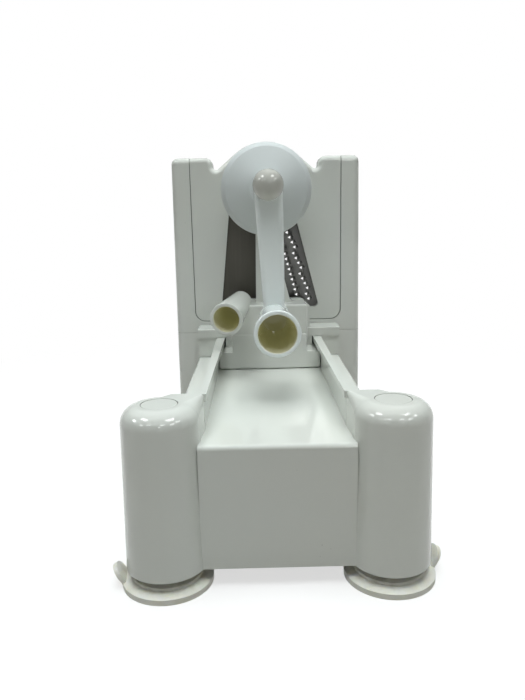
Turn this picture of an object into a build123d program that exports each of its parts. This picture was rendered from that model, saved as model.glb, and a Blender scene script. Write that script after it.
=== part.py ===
"""Hand-cranked table spiralizer, modelled piece by piece in millimetres.

The machine stands on z = 0 with its front, the end with the two round towers, towards -Y.
The blades stand at the back, and the crank turns about an axis parallel to Y.
"""

from build123d import *
import math
import os

os.makedirs("parts", exist_ok=True)

SIDES = (-1, 1)
SIDE_NAMES = ("left", "right")

# Base: heights
UNDERSIDE_Z = 10.4
DECK_Z = 77.0
SHELF_Z = 82.0
TOWER_TOP_Z = 97.0
RAIL_TOP_Z = 97.0
SEAM_Z = 98.0
WALL = 3.0

# Base: plan
TOWER_X = 58.6
TOWER_Y = -114.0
TOWER_FOOT_R = 21.4
TOWER_DRAFT = 1.2
TOWER_TOP_ROUND = 9.0
BRIDGE_INNER_X = 39.0
BRIDGE_BACK_Y = -97.0
BRIDGE_EDGE_ROUND = 0.8
BRIDGE_OUTER_ROUND = 4.5
PANEL_Y = -123.0
BACK_Y = 138.0
FACE_Y = 74.0
TRAY_HALF = 37.6
LIP_FRONT_HALF = 36.3
LIP_BACK_HALF = 33.4
RAIL_OUTER_HALF = 39.8
RAIL_LIP_THICKNESS = 3.6
RAIL_FRONT_Y = -98.5
SHELF_HALF = 54.0
SKIRT_WALL = 2.6
HOUSING_FOOT_HALF = 73.0
HOUSING_SEAM_HALF = 72.3
HOUSING_CORNER_R = 5.0
SEAM_CHAMFER = 0.4
BOSS_R = 9.0
BOSS_BORE_R = 6.5
SCREW_HOLE_R = 3.0
BOSS_FLOOR_Z = 16.0
REAR_BOSS_TOP_Z = 30.0
PLUG_R = 9.4
PLUG_THICKNESS = 2.4

# Suction cups
CUP_R = 24.0
CUP_RIM = 3.0
CUP_NECK_R = 12.5
REAR_CUP_X = 50.0
REAR_CUP_Y = 110.0
TAB_REACH_X = 87.0
TAB_ROOT_R = CUP_R - 1.6
TAB_THICKNESS = 2.4
TAB_HALF = 6.0
TAB_LEAN = math.radians(58)
FRONT_TAB_TURNS = (-6.0, 14.0)
REAR_TAB_LENGTH = 12.0

# Blade housing
HOUSING_TOP_HALF = 71.0
HOUSING_TOP_Z = 231.5
HOUSING_DEPTH = 60.0
HOUSING_TOP_ROUND = 4.8
CHUTE_HALF = 50.0
CHUTE_FLOOR_Z = 112.0
GROOVE_DEPTH = 2.5
GROOVE_WIDTH = 4.0
GROOVE_Y = FACE_Y + 6.0

# Blade cartridge
CARTRIDGE_HALF = 56.8
CARTRIDGE_BOTTOM_Z = 107.5
CARTRIDGE_DEPTH = 14.0
CARTRIDGE_FACE = 3.0
CARTRIDGE_CORNER_R = 7.5
SLIDE_GAP = 0.3
SEAM_GAP = 0.6
EAR_TOP_Z = 231.3
EAR_INNER_X = 39.9
NOTCH_Z = 219.6
ARCH_R = 35.6
ARCH_TANGENT = 49.6
ARCH_ROUND = 4.0
WINDOW_TOP_Z = 195.0
WINDOW_BOTTOM_Z = 117.0
WINDOW_TOP_LEFT = -28.0
WINDOW_TOP_RIGHT = 20.3
WINDOW_BOTTOM_LEFT = -36.3
WINDOW_BOTTOM_RIGHT = 40.3
BLADE_THICKNESS = 1.2
BLADE_EDGE_X = -1.0
BEVEL_WIDTH = 2.4
SLICE_GAP_X = 5.0
SLICE_THICKNESS = 1.8
PLATE_LAP = 3.4
CORER_R = 6.5
CORER_WALL = 0.6
TOOTH_HEIGHT = 2.4

# Screws, covers and small parts
HOUSING_SCREWS = [(side * 65.0, y) for side in SIDES for y in (84.0, 128.0)]
HOUSING_SCREW_R = 2.0
COVER_THICKNESS = 2.0
COVER_SCREW_R = 1.6
COVER_SCREW_HEAD = 1.6
COVER_SCREW_LENGTH = 10.0
PILLAR_R = 4.0
FRONT_COVER_Y = (-91.0, 73.8)
COVER_TONGUE_HALF = 36.8
FRONT_COVER_SCREWS = [(side * 42.0, y) for side in SIDES for y in (-82.0, 64.0)]
REAR_COVER_SCREWS = [(side * 30.0, y) for side in SIDES for y in (84.0, 128.0)]
PLUG_SEAM = 0.15
CUP_THREAD = 6.0
CUP_WASHER = 1.2
CUP_SCREW_HEAD_R = 5.2
CUP_SCREW_HEAD = 3.0
HOUSING_SCREW_LENGTH = 14.0
HOUSING_SCREW_HEAD = 2.4
POST_HOLLOW_X = 65.0
POST_HOLLOW_Y = 106.0
POST_HOLLOW_WIDTH = 7.0
POST_HOLLOW_LENGTH = 32.0
GROOVE_BOTTOM_Z = 113.0
TONGUE_TOP_Z = 226.0
EAR_ROUND = 5.5
NOTCH_ROUND = 2.5
POCKET_TOP_Z = 212.0
PLATE_TOP_Z = 202.0
PLATE_BOTTOM_Z = 111.2
PLATE_THICKNESS = 1.0
BLADE_SCREWS = [(-21.0, 198.6), (-28.0, 114.1)]
PLATE_SCREWS = [(15.5, 198.6), (32.0, 114.1)]
BLADE_SCREW_R = 1.2
BLADE_SCREW_HEAD_R = 2.5
BLADE_SCREW_HEAD = 1.6
BLADE_SCREW_TIP_Y = 75.4

# Slots beside the teeth, as (x, z) places and steps
OUTER_START = (11.0, 190.9)
GROUP_STEP = (4.9, -16.07)
TOOTH_STEP = (1.95, -3.78)
OUTER_GROUPS = 5
TEETH_IN_GROUP = 4
OUTER_END_Z = 121.0
INNER_START = (9.4, 174.4)
INNER_STEP = (1.12, -4.0)
INNER_COUNT = 13
TOOTH_R = 1.25
TOOTH_TAPER = 14
TOOTH_SHIFT = (1.9, 0.6)
TOOTH_SLOT_R = 1.4

# Crank
AXIS_Z = 206.5
SHAFT_R = 5.0
RUNNING_GAP = 0.05
CRANK_TILT = 2.0
CRANK_LENGTH = 86.3
ARM_FRONT_Y = -12.0
ARM_BACK_Y = -1.0
ARM_HUB_R = 9.6
ARM_TOP_HALF = 9.4
ARM_FOOT_HALF = 6.8
ARM_ROUND = 3.6
ARM_BACK_ROUND = 1.2
BARREL_R = 8.5
BARREL_END_Y = 34.0
HANDLE_RIM_Y = -58.0
HANDLE_RIM_R = 14.1
HANDLE_ROOT_R = 11.0
HANDLE_WALL = 2.7
HANDLE_TAPER = 3.86
HANDLE_FLOOR_Y = -5.0
CAP_R = 9.7
CAP_CENTRE_Y = -14.0
CAP_WALL = 1.6
CAP_SKIRT = 1.1
CAP_SEAT_R = 7.0
SCREW_SEAT_Y = -8.0
CRANK_SCREW_HEAD_R = 5.7
CRANK_SCREW_HEAD = 3.0
CRANK_WASHER = 0.9
SHAFT_FRONT_Y = -7.6
SHAFT_BACK_Y = 69.0
SHAFT_FLAT = 3.8
FLAT_END_Y = 8.0
SHAFT_SCREW_R = 2.0
SHAFT_SCREW_DEPTH = 12.0

# Carriage
TRAVEL_GAP = 0.4
SHIELD_R = 32.4
SHIELD_RIM_Y = 51.0
SHIELD_NOSE_Y = 37.0
SHIELD_THICKNESS = 2.0
SHIELD_HOLE_R = 9.7
SHIELD_FOOT_R = 23.4
SHIELD_FOOT_Y = 45.6
SHIELD_BOSS_Y = 43.4
SHIELD_SCREWS = 3
SHIELD_SCREW_RING = 18.4
SHIELD_SCREW_R = 1.2
SHIELD_SCREW_DEPTH = 6.5
SHIELD_SCREW_SEAT_Y = 57.6
SHIELD_SCREW_HEAD = 2.0
HEAD_R = 26.0
HEAD_FRONT_Y = 52.0
HEAD_BACK_Y = 60.0
HUB_FRONT_Y = 36.2
HUB_R = 9.4
BUSH_R = 7.0
BUSH_FLANGE = 1.2
POST_LEFT = -9.2
POST_RIGHT = 12.3
POST_FRONT_Y = 54.0
POST_BACK_Y = 66.0
BLOCK_HALF = 28.4
SHOULDER_HALF = 31.4
SHOULDER_FRONT_Y = 56.0
SHOULDER_DROP = 3.4
BLOCK_FRONT_Y = 38.0
BLOCK_TOP_Z = 124.0
CARRIAGE_BACK_Y = FACE_Y - 0.4
APRON_FRONT_Y = 33.0
APRON_HALF = 37.2
APRON_LEDGE_Z = 90.0
APRON_TOP_Z = 102.5
APRON_NECK_HALF = 27.6
WEB_HALF = LIP_BACK_HALF - TRAVEL_GAP
FOOT_HALF = 54.0
FOOT_FRONT_Y = 54.0
FOOT_TOP_Z = 104.0
FOOT_LINE_STEP = 1.4
POST_SWEEP_Z = 141.5
POST_FOOT_X = 16.8
POST_FOOT_ROUND = 4.0
RIB_HALF = 26.2
RIB_HEIGHT = 0.8

# Push handle on the carriage
PUSH_ROOT = (-20.5, 52.0, 125.0)
PUSH_RIM = (-29.8, 6.0, 119.2)
PUSH_ROOT_R = 8.2
PUSH_RIM_R = 11.6
PUSH_WALL = 2.7
PUSH_FLOOR = 14.0
PUSH_FLOOR_R = 6.0

# Food holder
HOLDER_R = 25.0
HOLDER_FRONT_Y = 60.6
HOLDER_HUB_R = 9.0
HOLDER_DISC_FRONT_Y = 62.0
HOLDER_DISC_BACK_Y = 65.4
HOLDER_SCREW_HEAD = 2.2
PRONG_TIP_Y = 73.2
PRONG_R = 1.6
PRONG_TAPER = 8
PRONG_RINGS = ((20.5, 12), (13.5, 6))


def facing(y, x=0.0, z=0.0):
    """Plane at depth y that looks to the front, with its own y axis upwards."""
    return Plane(origin=(x, y, z), x_dir=(1, 0, 0), z_dir=(0, -1, 0))


def backing(y, x=0.0, z=0.0):
    """Plane at depth y that looks to the back, with its own y axis upwards."""
    return Plane(origin=(x, y, z), x_dir=(-1, 0, 0), z_dir=(0, 1, 0))


def crank_plane(y):
    """Plane across the crank axis at depth y, turned with the hanging crank."""
    turn = math.radians(CRANK_TILT)
    return Plane(origin=(0, y, AXIS_Z), x_dir=(math.cos(turn), 0, math.sin(turn)), z_dir=(0, -1, 0))


# Base: towers, tray with its rails, shelves, rear box and the bosses for the suction cups
with BuildPart() as base_body:
    for side in SIDES:
        with BuildSketch(Plane.XY.offset(UNDERSIDE_Z)):
            with Locations((side * TOWER_X, TOWER_Y)):
                Circle(TOWER_FOOT_R)
        extrude(amount=TOWER_TOP_Z - UNDERSIDE_Z, taper=TOWER_DRAFT)
    for top in base_body.faces().group_by(Axis.Z)[-1]:
        fillet(top.edges(), TOWER_TOP_ROUND)

    # Each tower runs straight back into its rail, and its inner top edge turns sharp on the way
    for side in SIDES:
        sections = (
            (TOWER_Y, BRIDGE_INNER_X, TOWER_X + TOWER_X - BRIDGE_INNER_X, TOWER_TOP_ROUND, TOWER_TOP_ROUND),
            (BRIDGE_BACK_Y, TRAY_HALF, TOWER_X, BRIDGE_EDGE_ROUND, BRIDGE_OUTER_ROUND),
        )
        for y, inner_x, outer_x, inner_round, outer_round in sections:
            with BuildSketch(facing(y)) as bridge:
                with Locations((side * (inner_x + outer_x) / 2, (UNDERSIDE_Z + TOWER_TOP_Z) / 2)):
                    Rectangle(outer_x - inner_x, TOWER_TOP_Z - UNDERSIDE_Z)
                fillet(bridge.vertices().sort_by_distance((side * inner_x, TOWER_TOP_Z))[0], inner_round)
                fillet(bridge.vertices().sort_by_distance((side * outer_x, TOWER_TOP_Z))[0], outer_round)
        loft()

    # Tray floor, front panel and the two rails with their inward lips
    with BuildSketch(Plane.YZ) as tray_section:
        with BuildLine():
            Polyline(
                (PANEL_Y, UNDERSIDE_Z),
                (PANEL_Y, DECK_Z),
                (FACE_Y + WALL, DECK_Z),
                (FACE_Y + WALL, DECK_Z - WALL),
                (PANEL_Y + WALL, DECK_Z - WALL),
                (PANEL_Y + WALL, UNDERSIDE_Z),
                close=True,
            )
        make_face()
        fillet(tray_section.vertices().sort_by_distance((PANEL_Y, DECK_Z))[0], 2.4)
    extrude(amount=RAIL_OUTER_HALF, both=True)
    with BuildSketch(facing(RAIL_FRONT_Y)):
        for side in SIDES:
            with Locations((side * (TRAY_HALF + RAIL_OUTER_HALF) / 2, (DECK_Z + RAIL_TOP_Z) / 2 - 1)):
                Rectangle(RAIL_OUTER_HALF - TRAY_HALF, RAIL_TOP_Z - DECK_Z + 2)
    extrude(amount=RAIL_FRONT_Y - FACE_Y)
    with BuildSketch(Plane.XY.offset(RAIL_TOP_Z - RAIL_LIP_THICKNESS)):
        for side in SIDES:
            with BuildLine():
                Polyline(
                    (side * RAIL_OUTER_HALF, RAIL_FRONT_Y),
                    (side * LIP_FRONT_HALF, RAIL_FRONT_Y),
                    (side * LIP_BACK_HALF, FACE_Y),
                    (side * RAIL_OUTER_HALF, FACE_Y),
                    close=True,
                )
            make_face()
    extrude(amount=RAIL_LIP_THICKNESS)

    # Shelves outside the rails and the side skirts under their outer edges
    with BuildSketch(facing(TOWER_Y + TOWER_FOOT_R - 2)) as shelf_section:
        for side in SIDES:
            with Locations((side * (RAIL_OUTER_HALF + SHELF_HALF - 1) / 2, SHELF_Z - WALL / 2)):
                Rectangle(SHELF_HALF - RAIL_OUTER_HALF + 1, WALL)
            with Locations((side * (SHELF_HALF - SKIRT_WALL / 2), (UNDERSIDE_Z + SHELF_Z) / 2)):
                Rectangle(SKIRT_WALL, SHELF_Z - UNDERSIDE_Z)
        shelf_corners = shelf_section.vertices().group_by(Axis.Y)[-1].sort_by(Axis.X)
        fillet([shelf_corners[0], shelf_corners[-1]], 1.6)
    extrude(amount=TOWER_Y + TOWER_FOOT_R - 2 - FACE_Y)

    # Rear box that carries the blade housing
    for height, half_width in ((UNDERSIDE_Z, HOUSING_FOOT_HALF), (SEAM_Z, HOUSING_SEAM_HALF)):
        with BuildSketch(Plane.XY.offset(height)) as box_plan:
            with Locations((0, (FACE_Y + BACK_Y) / 2)):
                Rectangle(2 * half_width, BACK_Y - FACE_Y)
            fillet(box_plan.vertices().group_by(Axis.Y)[0], HOUSING_CORNER_R)
            fillet(box_plan.vertices().group_by(Axis.Y)[-1], 2 * HOUSING_CORNER_R)
    loft()

    # Hollows, open below
    with BuildSketch(Plane.XY.offset(UNDERSIDE_Z)):
        with Locations((0, (FACE_Y + BACK_Y) / 2)):
            Rectangle(2 * (HOUSING_SEAM_HALF - WALL), BACK_Y - FACE_Y - 2 * WALL)
    extrude(amount=SEAM_Z - WALL - UNDERSIDE_Z, mode=Mode.SUBTRACT)
    for side in SIDES:
        with BuildSketch(Plane.XY.offset(UNDERSIDE_Z)):
            with Locations((side * TOWER_X, TOWER_Y)):
                Circle(TOWER_FOOT_R - WALL)
        extrude(amount=TOWER_TOP_Z - TOWER_TOP_ROUND - UNDERSIDE_Z, taper=TOWER_DRAFT, mode=Mode.SUBTRACT)

    # Screw bosses for the suction cups: through to the top in the towers, short in the rear box
    with BuildSketch(Plane.XY.offset(UNDERSIDE_Z)):
        with Locations([(side * TOWER_X, TOWER_Y) for side in SIDES]):
            Circle(BOSS_R)
    extrude(amount=TOWER_TOP_Z - TOWER_TOP_ROUND - UNDERSIDE_Z + 1)
    with BuildSketch(Plane.XY.offset(UNDERSIDE_Z)):
        with Locations([(side * REAR_CUP_X, REAR_CUP_Y) for side in SIDES]):
            Circle(BOSS_R)
    extrude(amount=REAR_BOSS_TOP_Z - UNDERSIDE_Z)
    with BuildSketch(Plane.XY.offset(UNDERSIDE_Z)):
        for side in SIDES:
            with Locations((side * (REAR_CUP_X + BOSS_R + 4), REAR_CUP_Y)):
                Rectangle(2 * BOSS_R, WALL)
    extrude(amount=REAR_BOSS_TOP_Z - UNDERSIDE_Z)
    boss_places = {
        TOWER_TOP_Z: [(side * TOWER_X, TOWER_Y) for side in SIDES],
        REAR_BOSS_TOP_Z: [(side * REAR_CUP_X, REAR_CUP_Y) for side in SIDES],
    }
    for boss_top, places in boss_places.items():
        with BuildSketch(Plane.XY.offset(BOSS_FLOOR_Z)):
            with Locations(places):
                Circle(BOSS_BORE_R)
        extrude(amount=boss_top - BOSS_FLOOR_Z, mode=Mode.SUBTRACT)
        with BuildSketch(Plane.XY.offset(UNDERSIDE_Z)):
            with Locations(places):
                Circle(SCREW_HOLE_R)
        extrude(amount=BOSS_FLOOR_Z - UNDERSIDE_Z, mode=Mode.SUBTRACT)
    with BuildSketch(Plane.XY.offset(TOWER_TOP_Z - PLUG_THICKNESS)):
        with Locations(boss_places[TOWER_TOP_Z]):
            Circle(PLUG_R)
    extrude(amount=PLUG_THICKNESS, mode=Mode.SUBTRACT)

    # Holes for the screws that hold the blade housing
    with BuildSketch(Plane.XY.offset(SEAM_Z - WALL)):
        with Locations(HOUSING_SCREWS):
            Circle(HOUSING_SCREW_R)
    extrude(amount=WALL, mode=Mode.SUBTRACT)

    # Pillars for the screws of the two bottom covers
    with BuildSketch(Plane.XY.offset(UNDERSIDE_Z + 2 * COVER_THICKNESS)):
        with Locations(FRONT_COVER_SCREWS):
            Circle(PILLAR_R)
    extrude(amount=DECK_Z - WALL - UNDERSIDE_Z - 2 * COVER_THICKNESS)
    with BuildSketch(Plane.XY.offset(UNDERSIDE_Z + 2 * COVER_THICKNESS)):
        with Locations(REAR_COVER_SCREWS):
            Circle(PILLAR_R)
    extrude(amount=SEAM_Z - WALL - UNDERSIDE_Z - 2 * COVER_THICKNESS)
    with BuildSketch(Plane.XY.offset(UNDERSIDE_Z + 2 * COVER_THICKNESS)):
        with Locations(FRONT_COVER_SCREWS + REAR_COVER_SCREWS):
            Circle(COVER_SCREW_R)
    extrude(amount=COVER_SCREW_LENGTH, mode=Mode.SUBTRACT)
base_body.part.label = "base_body"
export_step(base_body.part, "parts/base_body.step")

# Bottom covers: flat plates that close the base between the skirts and under the rear box
with BuildPart() as front_bottom_cover:
    with BuildSketch(Plane.XY.offset(UNDERSIDE_Z + COVER_THICKNESS)):
        with Locations((0, (FRONT_COVER_Y[0] + FRONT_COVER_Y[1]) / 2)):
            Rectangle(2 * (SHELF_HALF - SKIRT_WALL - 0.2), FRONT_COVER_Y[1] - FRONT_COVER_Y[0])
        with Locations((0, (PANEL_Y + WALL + 0.2 + FRONT_COVER_Y[0]) / 2)):
            Rectangle(2 * COVER_TONGUE_HALF, FRONT_COVER_Y[0] - PANEL_Y - WALL - 0.2)
    extrude(amount=COVER_THICKNESS)
    with BuildSketch(Plane.XY.offset(UNDERSIDE_Z)):
        with Locations(FRONT_COVER_SCREWS):
            Circle(COVER_SCREW_R)
    extrude(amount=3 * COVER_THICKNESS, mode=Mode.SUBTRACT)
front_bottom_cover.part.label = "front_bottom_cover"
export_step(front_bottom_cover.part, "parts/front_bottom_cover.step")

with BuildPart() as rear_bottom_cover:
    with BuildSketch(Plane.XY.offset(UNDERSIDE_Z + COVER_THICKNESS)):
        with Locations((0, (FACE_Y + BACK_Y) / 2)):
            Rectangle(2 * (HOUSING_SEAM_HALF - WALL - 0.2), BACK_Y - FACE_Y - 2 * WALL - 0.4)
        with Locations([(side * REAR_CUP_X, REAR_CUP_Y) for side in SIDES]):
            Circle(BOSS_R + 0.3, mode=Mode.SUBTRACT)
        for side in SIDES:
            with Locations((side * (REAR_CUP_X + 2 * BOSS_R), REAR_CUP_Y)):
                Rectangle(3 * BOSS_R, WALL + 0.6, mode=Mode.SUBTRACT)
    extrude(amount=COVER_THICKNESS)
    with BuildSketch(Plane.XY.offset(UNDERSIDE_Z)):
        with Locations(REAR_COVER_SCREWS):
            Circle(COVER_SCREW_R)
    extrude(amount=3 * COVER_THICKNESS, mode=Mode.SUBTRACT)
rear_bottom_cover.part.label = "rear_bottom_cover"
export_step(rear_bottom_cover.part, "parts/rear_bottom_cover.step")

with BuildPart() as cover_screws:
    with BuildSketch(Plane.XY.offset(UNDERSIDE_Z + COVER_THICKNESS)):
        with Locations(FRONT_COVER_SCREWS + REAR_COVER_SCREWS):
            Circle(COVER_SCREW_R)
    extrude(amount=COVER_SCREW_LENGTH)
    with BuildSketch(Plane.XY.offset(UNDERSIDE_Z + COVER_THICKNESS)):
        with Locations(FRONT_COVER_SCREWS + REAR_COVER_SCREWS):
            Circle(2 * COVER_SCREW_R)
    extrude(amount=-COVER_SCREW_HEAD)
    chamfer(cover_screws.faces().sort_by(Axis.Z)[0].edges(), 0.4)
cover_screws.part.label = "cover_screws"
export_step(cover_screws.part, "parts/cover_screws.step")

# Round plugs that close the screw wells in the tower tops
for side, side_name in zip(SIDES, SIDE_NAMES):
    with BuildPart() as tower_plug:
        with BuildSketch(Plane.XY.offset(TOWER_TOP_Z - PLUG_THICKNESS)):
            with Locations((side * TOWER_X, TOWER_Y)):
                Circle(PLUG_R - PLUG_SEAM)
        extrude(amount=PLUG_THICKNESS)
        fillet(tower_plug.edges().group_by(Axis.Z)[-1], 0.5)
        with BuildSketch(Plane.XY.offset(TOWER_TOP_Z - PLUG_THICKNESS)):
            with Locations((side * TOWER_X, TOWER_Y)):
                Circle(BOSS_BORE_R)
                Circle(BOSS_BORE_R - 1.2, mode=Mode.SUBTRACT)
        extrude(amount=-2 * PLUG_THICKNESS)
    tower_plug.part.label = "tower_plug_" + side_name
    export_step(tower_plug.part, "parts/tower_plug_" + side_name + ".step")


def tab_length(x, turn):
    """Length of a pull tab turned by some degrees whose outermost point stands at TAB_REACH_X."""
    angle = math.radians(turn)
    round_end = math.hypot(TAB_HALF * math.cos(TAB_LEAN) * math.cos(angle), TAB_HALF * math.sin(angle))
    half_thickness = TAB_THICKNESS / 2 * math.sin(TAB_LEAN) * math.cos(angle)
    centre_reach = (TAB_REACH_X - x - round_end - half_thickness) / math.cos(angle)
    return TAB_HALF + (centre_reach - TAB_ROOT_R) / math.cos(TAB_LEAN)


def suction_cup(length):
    """One soft cup: rim band, stepped shoulder, neck, hollow below and a pull tab towards +X."""
    with BuildPart() as cup:
        with BuildSketch(Plane.XZ):
            with BuildLine():
                Polyline(
                    (0, 3.4),
                    (CUP_R * 0.55, 2.6),
                    (CUP_R - 2.2, 0),
                    (CUP_R, 0),
                    (CUP_R, CUP_RIM),
                    (CUP_R - 1.6, CUP_RIM + 0.8),
                    (CUP_R * 0.78, CUP_RIM + 1.7),
                    (CUP_R * 0.76, CUP_RIM + 2.9),
                    (CUP_NECK_R + 1.6, CUP_RIM + 4.4),
                    (CUP_NECK_R, UNDERSIDE_Z),
                    (0, UNDERSIDE_Z),
                    close=True,
                )
            make_face()
        revolve(axis=Axis.Z)
        with BuildSketch(Plane.XY.offset(UNDERSIDE_Z)):
            Circle(SCREW_HOLE_R)
        extrude(amount=-CUP_THREAD, mode=Mode.SUBTRACT)
        lean = Plane(
            origin=(TAB_ROOT_R, 0, CUP_RIM), x_dir=(0, 1, 0), z_dir=(math.sin(TAB_LEAN), 0, -math.cos(TAB_LEAN))
        )
        with BuildSketch(lean):
            with Locations((0, (length - TAB_HALF) / 2)):
                Rectangle(2 * TAB_HALF, length - TAB_HALF)
            with Locations((0, length - TAB_HALF)):
                Circle(TAB_HALF)
        extrude(amount=TAB_THICKNESS / 2, both=True)
    return cup.part


for side, side_name, turn in zip(SIDES, SIDE_NAMES, FRONT_TAB_TURNS):
    front_cup = suction_cup(tab_length(TOWER_X, turn))
    heading = turn if side > 0 else 180 - turn
    front_cup = front_cup.rotate(Axis.Z, heading).translate((side * TOWER_X, TOWER_Y, 0))
    front_cup.label = "suction_cup_front_" + side_name
    export_step(front_cup, "parts/" + front_cup.label + ".step")
    rear_cup = suction_cup(REAR_TAB_LENGTH).rotate(Axis.Z, 90 - side * 90)
    rear_cup = rear_cup.translate((side * REAR_CUP_X, REAR_CUP_Y, 0))
    rear_cup.label = "suction_cup_rear_" + side_name
    export_step(rear_cup, "parts/" + rear_cup.label + ".step")

# Washers and screws that draw the cups up against the base
CUP_PLACES = [(side * TOWER_X, TOWER_Y) for side in SIDES]
CUP_PLACES += [(side * REAR_CUP_X, REAR_CUP_Y) for side in SIDES]
with BuildPart() as cup_washers:
    with BuildSketch(Plane.XY.offset(BOSS_FLOOR_Z)):
        with Locations(CUP_PLACES):
            Circle(BOSS_BORE_R - 0.5)
            Circle(SCREW_HOLE_R, mode=Mode.SUBTRACT)
    extrude(amount=CUP_WASHER)
cup_washers.part.label = "cup_washers"
export_step(cup_washers.part, "parts/cup_washers.step")

with BuildPart() as cup_screws:
    with BuildSketch(Plane.XY.offset(UNDERSIDE_Z - CUP_THREAD)):
        with Locations(CUP_PLACES):
            Circle(SCREW_HOLE_R)
    extrude(amount=BOSS_FLOOR_Z + CUP_WASHER - UNDERSIDE_Z + CUP_THREAD)
    with BuildSketch(Plane.XY.offset(BOSS_FLOOR_Z + CUP_WASHER)):
        with Locations(CUP_PLACES):
            Circle(CUP_SCREW_HEAD_R)
    extrude(amount=CUP_SCREW_HEAD)
    fillet(cup_screws.edges().group_by(Axis.Z)[-1], 1.2)
cup_screws.part.label = "cup_screws"
export_step(cup_screws.part, "parts/cup_screws.step")

# Blade housing: two posts and a low beam around the chute, rebated and grooved for the cartridge
with BuildPart() as blade_housing:
    levels = (
        (SEAM_Z, HOUSING_SEAM_HALF, SEAM_CHAMFER),
        (SEAM_Z + SEAM_CHAMFER, HOUSING_SEAM_HALF, 0),
        (HOUSING_TOP_Z, HOUSING_TOP_HALF, 0),
    )
    for height, half_width, inset in levels:
        with BuildSketch(Plane.XY.offset(height)) as housing_plan:
            with Locations((0, FACE_Y + HOUSING_DEPTH / 2)):
                Rectangle(2 * (half_width - inset), HOUSING_DEPTH - 2 * inset)
            fillet(housing_plan.vertices().group_by(Axis.Y)[0], HOUSING_CORNER_R - inset)
            fillet(housing_plan.vertices().group_by(Axis.Y)[-1], 2 * HOUSING_CORNER_R - inset)
    loft(ruled=True)
    fillet(blade_housing.faces().sort_by(Axis.Z)[-1].edges(), HOUSING_TOP_ROUND)
    with BuildSketch(facing(FACE_Y)) as rebate:
        with Locations((0, (CARTRIDGE_BOTTOM_Z - SEAM_GAP + HOUSING_TOP_Z + 10) / 2)):
            Rectangle(2 * (CARTRIDGE_HALF + SEAM_GAP), HOUSING_TOP_Z + 10 - CARTRIDGE_BOTTOM_Z + SEAM_GAP)
        fillet(rebate.vertices().group_by(Axis.Y)[0], CARTRIDGE_CORNER_R + SEAM_GAP)
    extrude(amount=-(CARTRIDGE_DEPTH + SLIDE_GAP), mode=Mode.SUBTRACT)
    with BuildSketch(facing(FACE_Y)) as chute:
        with Locations((0, (CHUTE_FLOOR_Z + HOUSING_TOP_Z + 10) / 2)):
            Rectangle(2 * CHUTE_HALF, HOUSING_TOP_Z + 10 - CHUTE_FLOOR_Z)
        fillet(chute.vertices().group_by(Axis.Y)[0], 6)
    extrude(amount=-HOUSING_DEPTH, mode=Mode.SUBTRACT)
    with BuildSketch(Plane.XY.offset(GROOVE_BOTTOM_Z)):
        with Locations((0, GROOVE_Y + GROOVE_WIDTH / 2)):
            Rectangle(2 * (CARTRIDGE_HALF + SEAM_GAP + GROOVE_DEPTH), GROOVE_WIDTH)
    extrude(amount=HOUSING_TOP_Z - GROOVE_BOTTOM_Z, mode=Mode.SUBTRACT)
    with BuildSketch(Plane.XY.offset(SEAM_Z)):
        with Locations([(side * POST_HOLLOW_X, POST_HOLLOW_Y) for side in SIDES]):
            Rectangle(POST_HOLLOW_WIDTH, POST_HOLLOW_LENGTH)
    extrude(amount=HOUSING_TOP_Z - SEAM_Z - 2 * WALL, mode=Mode.SUBTRACT)
    with BuildSketch(Plane.XY.offset(SEAM_Z)):
        with Locations(HOUSING_SCREWS):
            Circle(HOUSING_SCREW_R)
    extrude(amount=HOUSING_SCREW_LENGTH, mode=Mode.SUBTRACT)
    back_rims = blade_housing.edges().filter_by_position(Axis.Y, FACE_Y + HOUSING_DEPTH - 0.1, BACK_Y)
    fillet(back_rims.filter_by(Axis.X).filter_by_position(Axis.Z, CHUTE_FLOOR_Z - 0.1, CHUTE_FLOOR_Z + 0.1), 2.0)
blade_housing.part.label = "blade_housing"
export_step(blade_housing.part, "parts/blade_housing.step")

with BuildPart() as housing_screws:
    with BuildSketch(Plane.XY.offset(SEAM_Z - WALL)):
        with Locations(HOUSING_SCREWS):
            Circle(HOUSING_SCREW_R)
    extrude(amount=HOUSING_SCREW_LENGTH)
    with BuildSketch(Plane.XY.offset(SEAM_Z - WALL)):
        with Locations(HOUSING_SCREWS):
            Circle(2 * HOUSING_SCREW_R)
    extrude(amount=-HOUSING_SCREW_HEAD)
    fillet(housing_screws.edges().group_by(Axis.Z)[0], 1.0)
housing_screws.part.label = "housing_screws"
export_step(housing_screws.part, "parts/housing_screws.step")


# Blade cartridge: flat face with two ears and a round arch, open behind, with the blades inside
def window_edge(z, top_x, bottom_x):
    """X of a sloping window side at height z."""
    share = (WINDOW_TOP_Z - z) / (WINDOW_TOP_Z - WINDOW_BOTTOM_Z)
    return top_x + share * (bottom_x - top_x)


def cartridge_outline():
    """Closed line around the cartridge: two ears with a round arch between them."""
    angle = math.radians(ARCH_TANGENT)
    arch_x = ARCH_R * math.cos(angle)
    arch_z = AXIS_Z + ARCH_R * math.sin(angle)
    with BuildLine() as outline:
        Polyline(
            (arch_x, arch_z),
            (EAR_INNER_X, NOTCH_Z),
            (EAR_INNER_X, EAR_TOP_Z),
            (CARTRIDGE_HALF, EAR_TOP_Z),
            (CARTRIDGE_HALF, CARTRIDGE_BOTTOM_Z),
            (-CARTRIDGE_HALF, CARTRIDGE_BOTTOM_Z),
            (-CARTRIDGE_HALF, EAR_TOP_Z),
            (-EAR_INNER_X, EAR_TOP_Z),
            (-EAR_INNER_X, NOTCH_Z),
            (-arch_x, arch_z),
        )
        ThreePointArc((-arch_x, arch_z), (0, AXIS_Z + ARCH_R), (arch_x, arch_z))
    return outline.edges()


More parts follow.
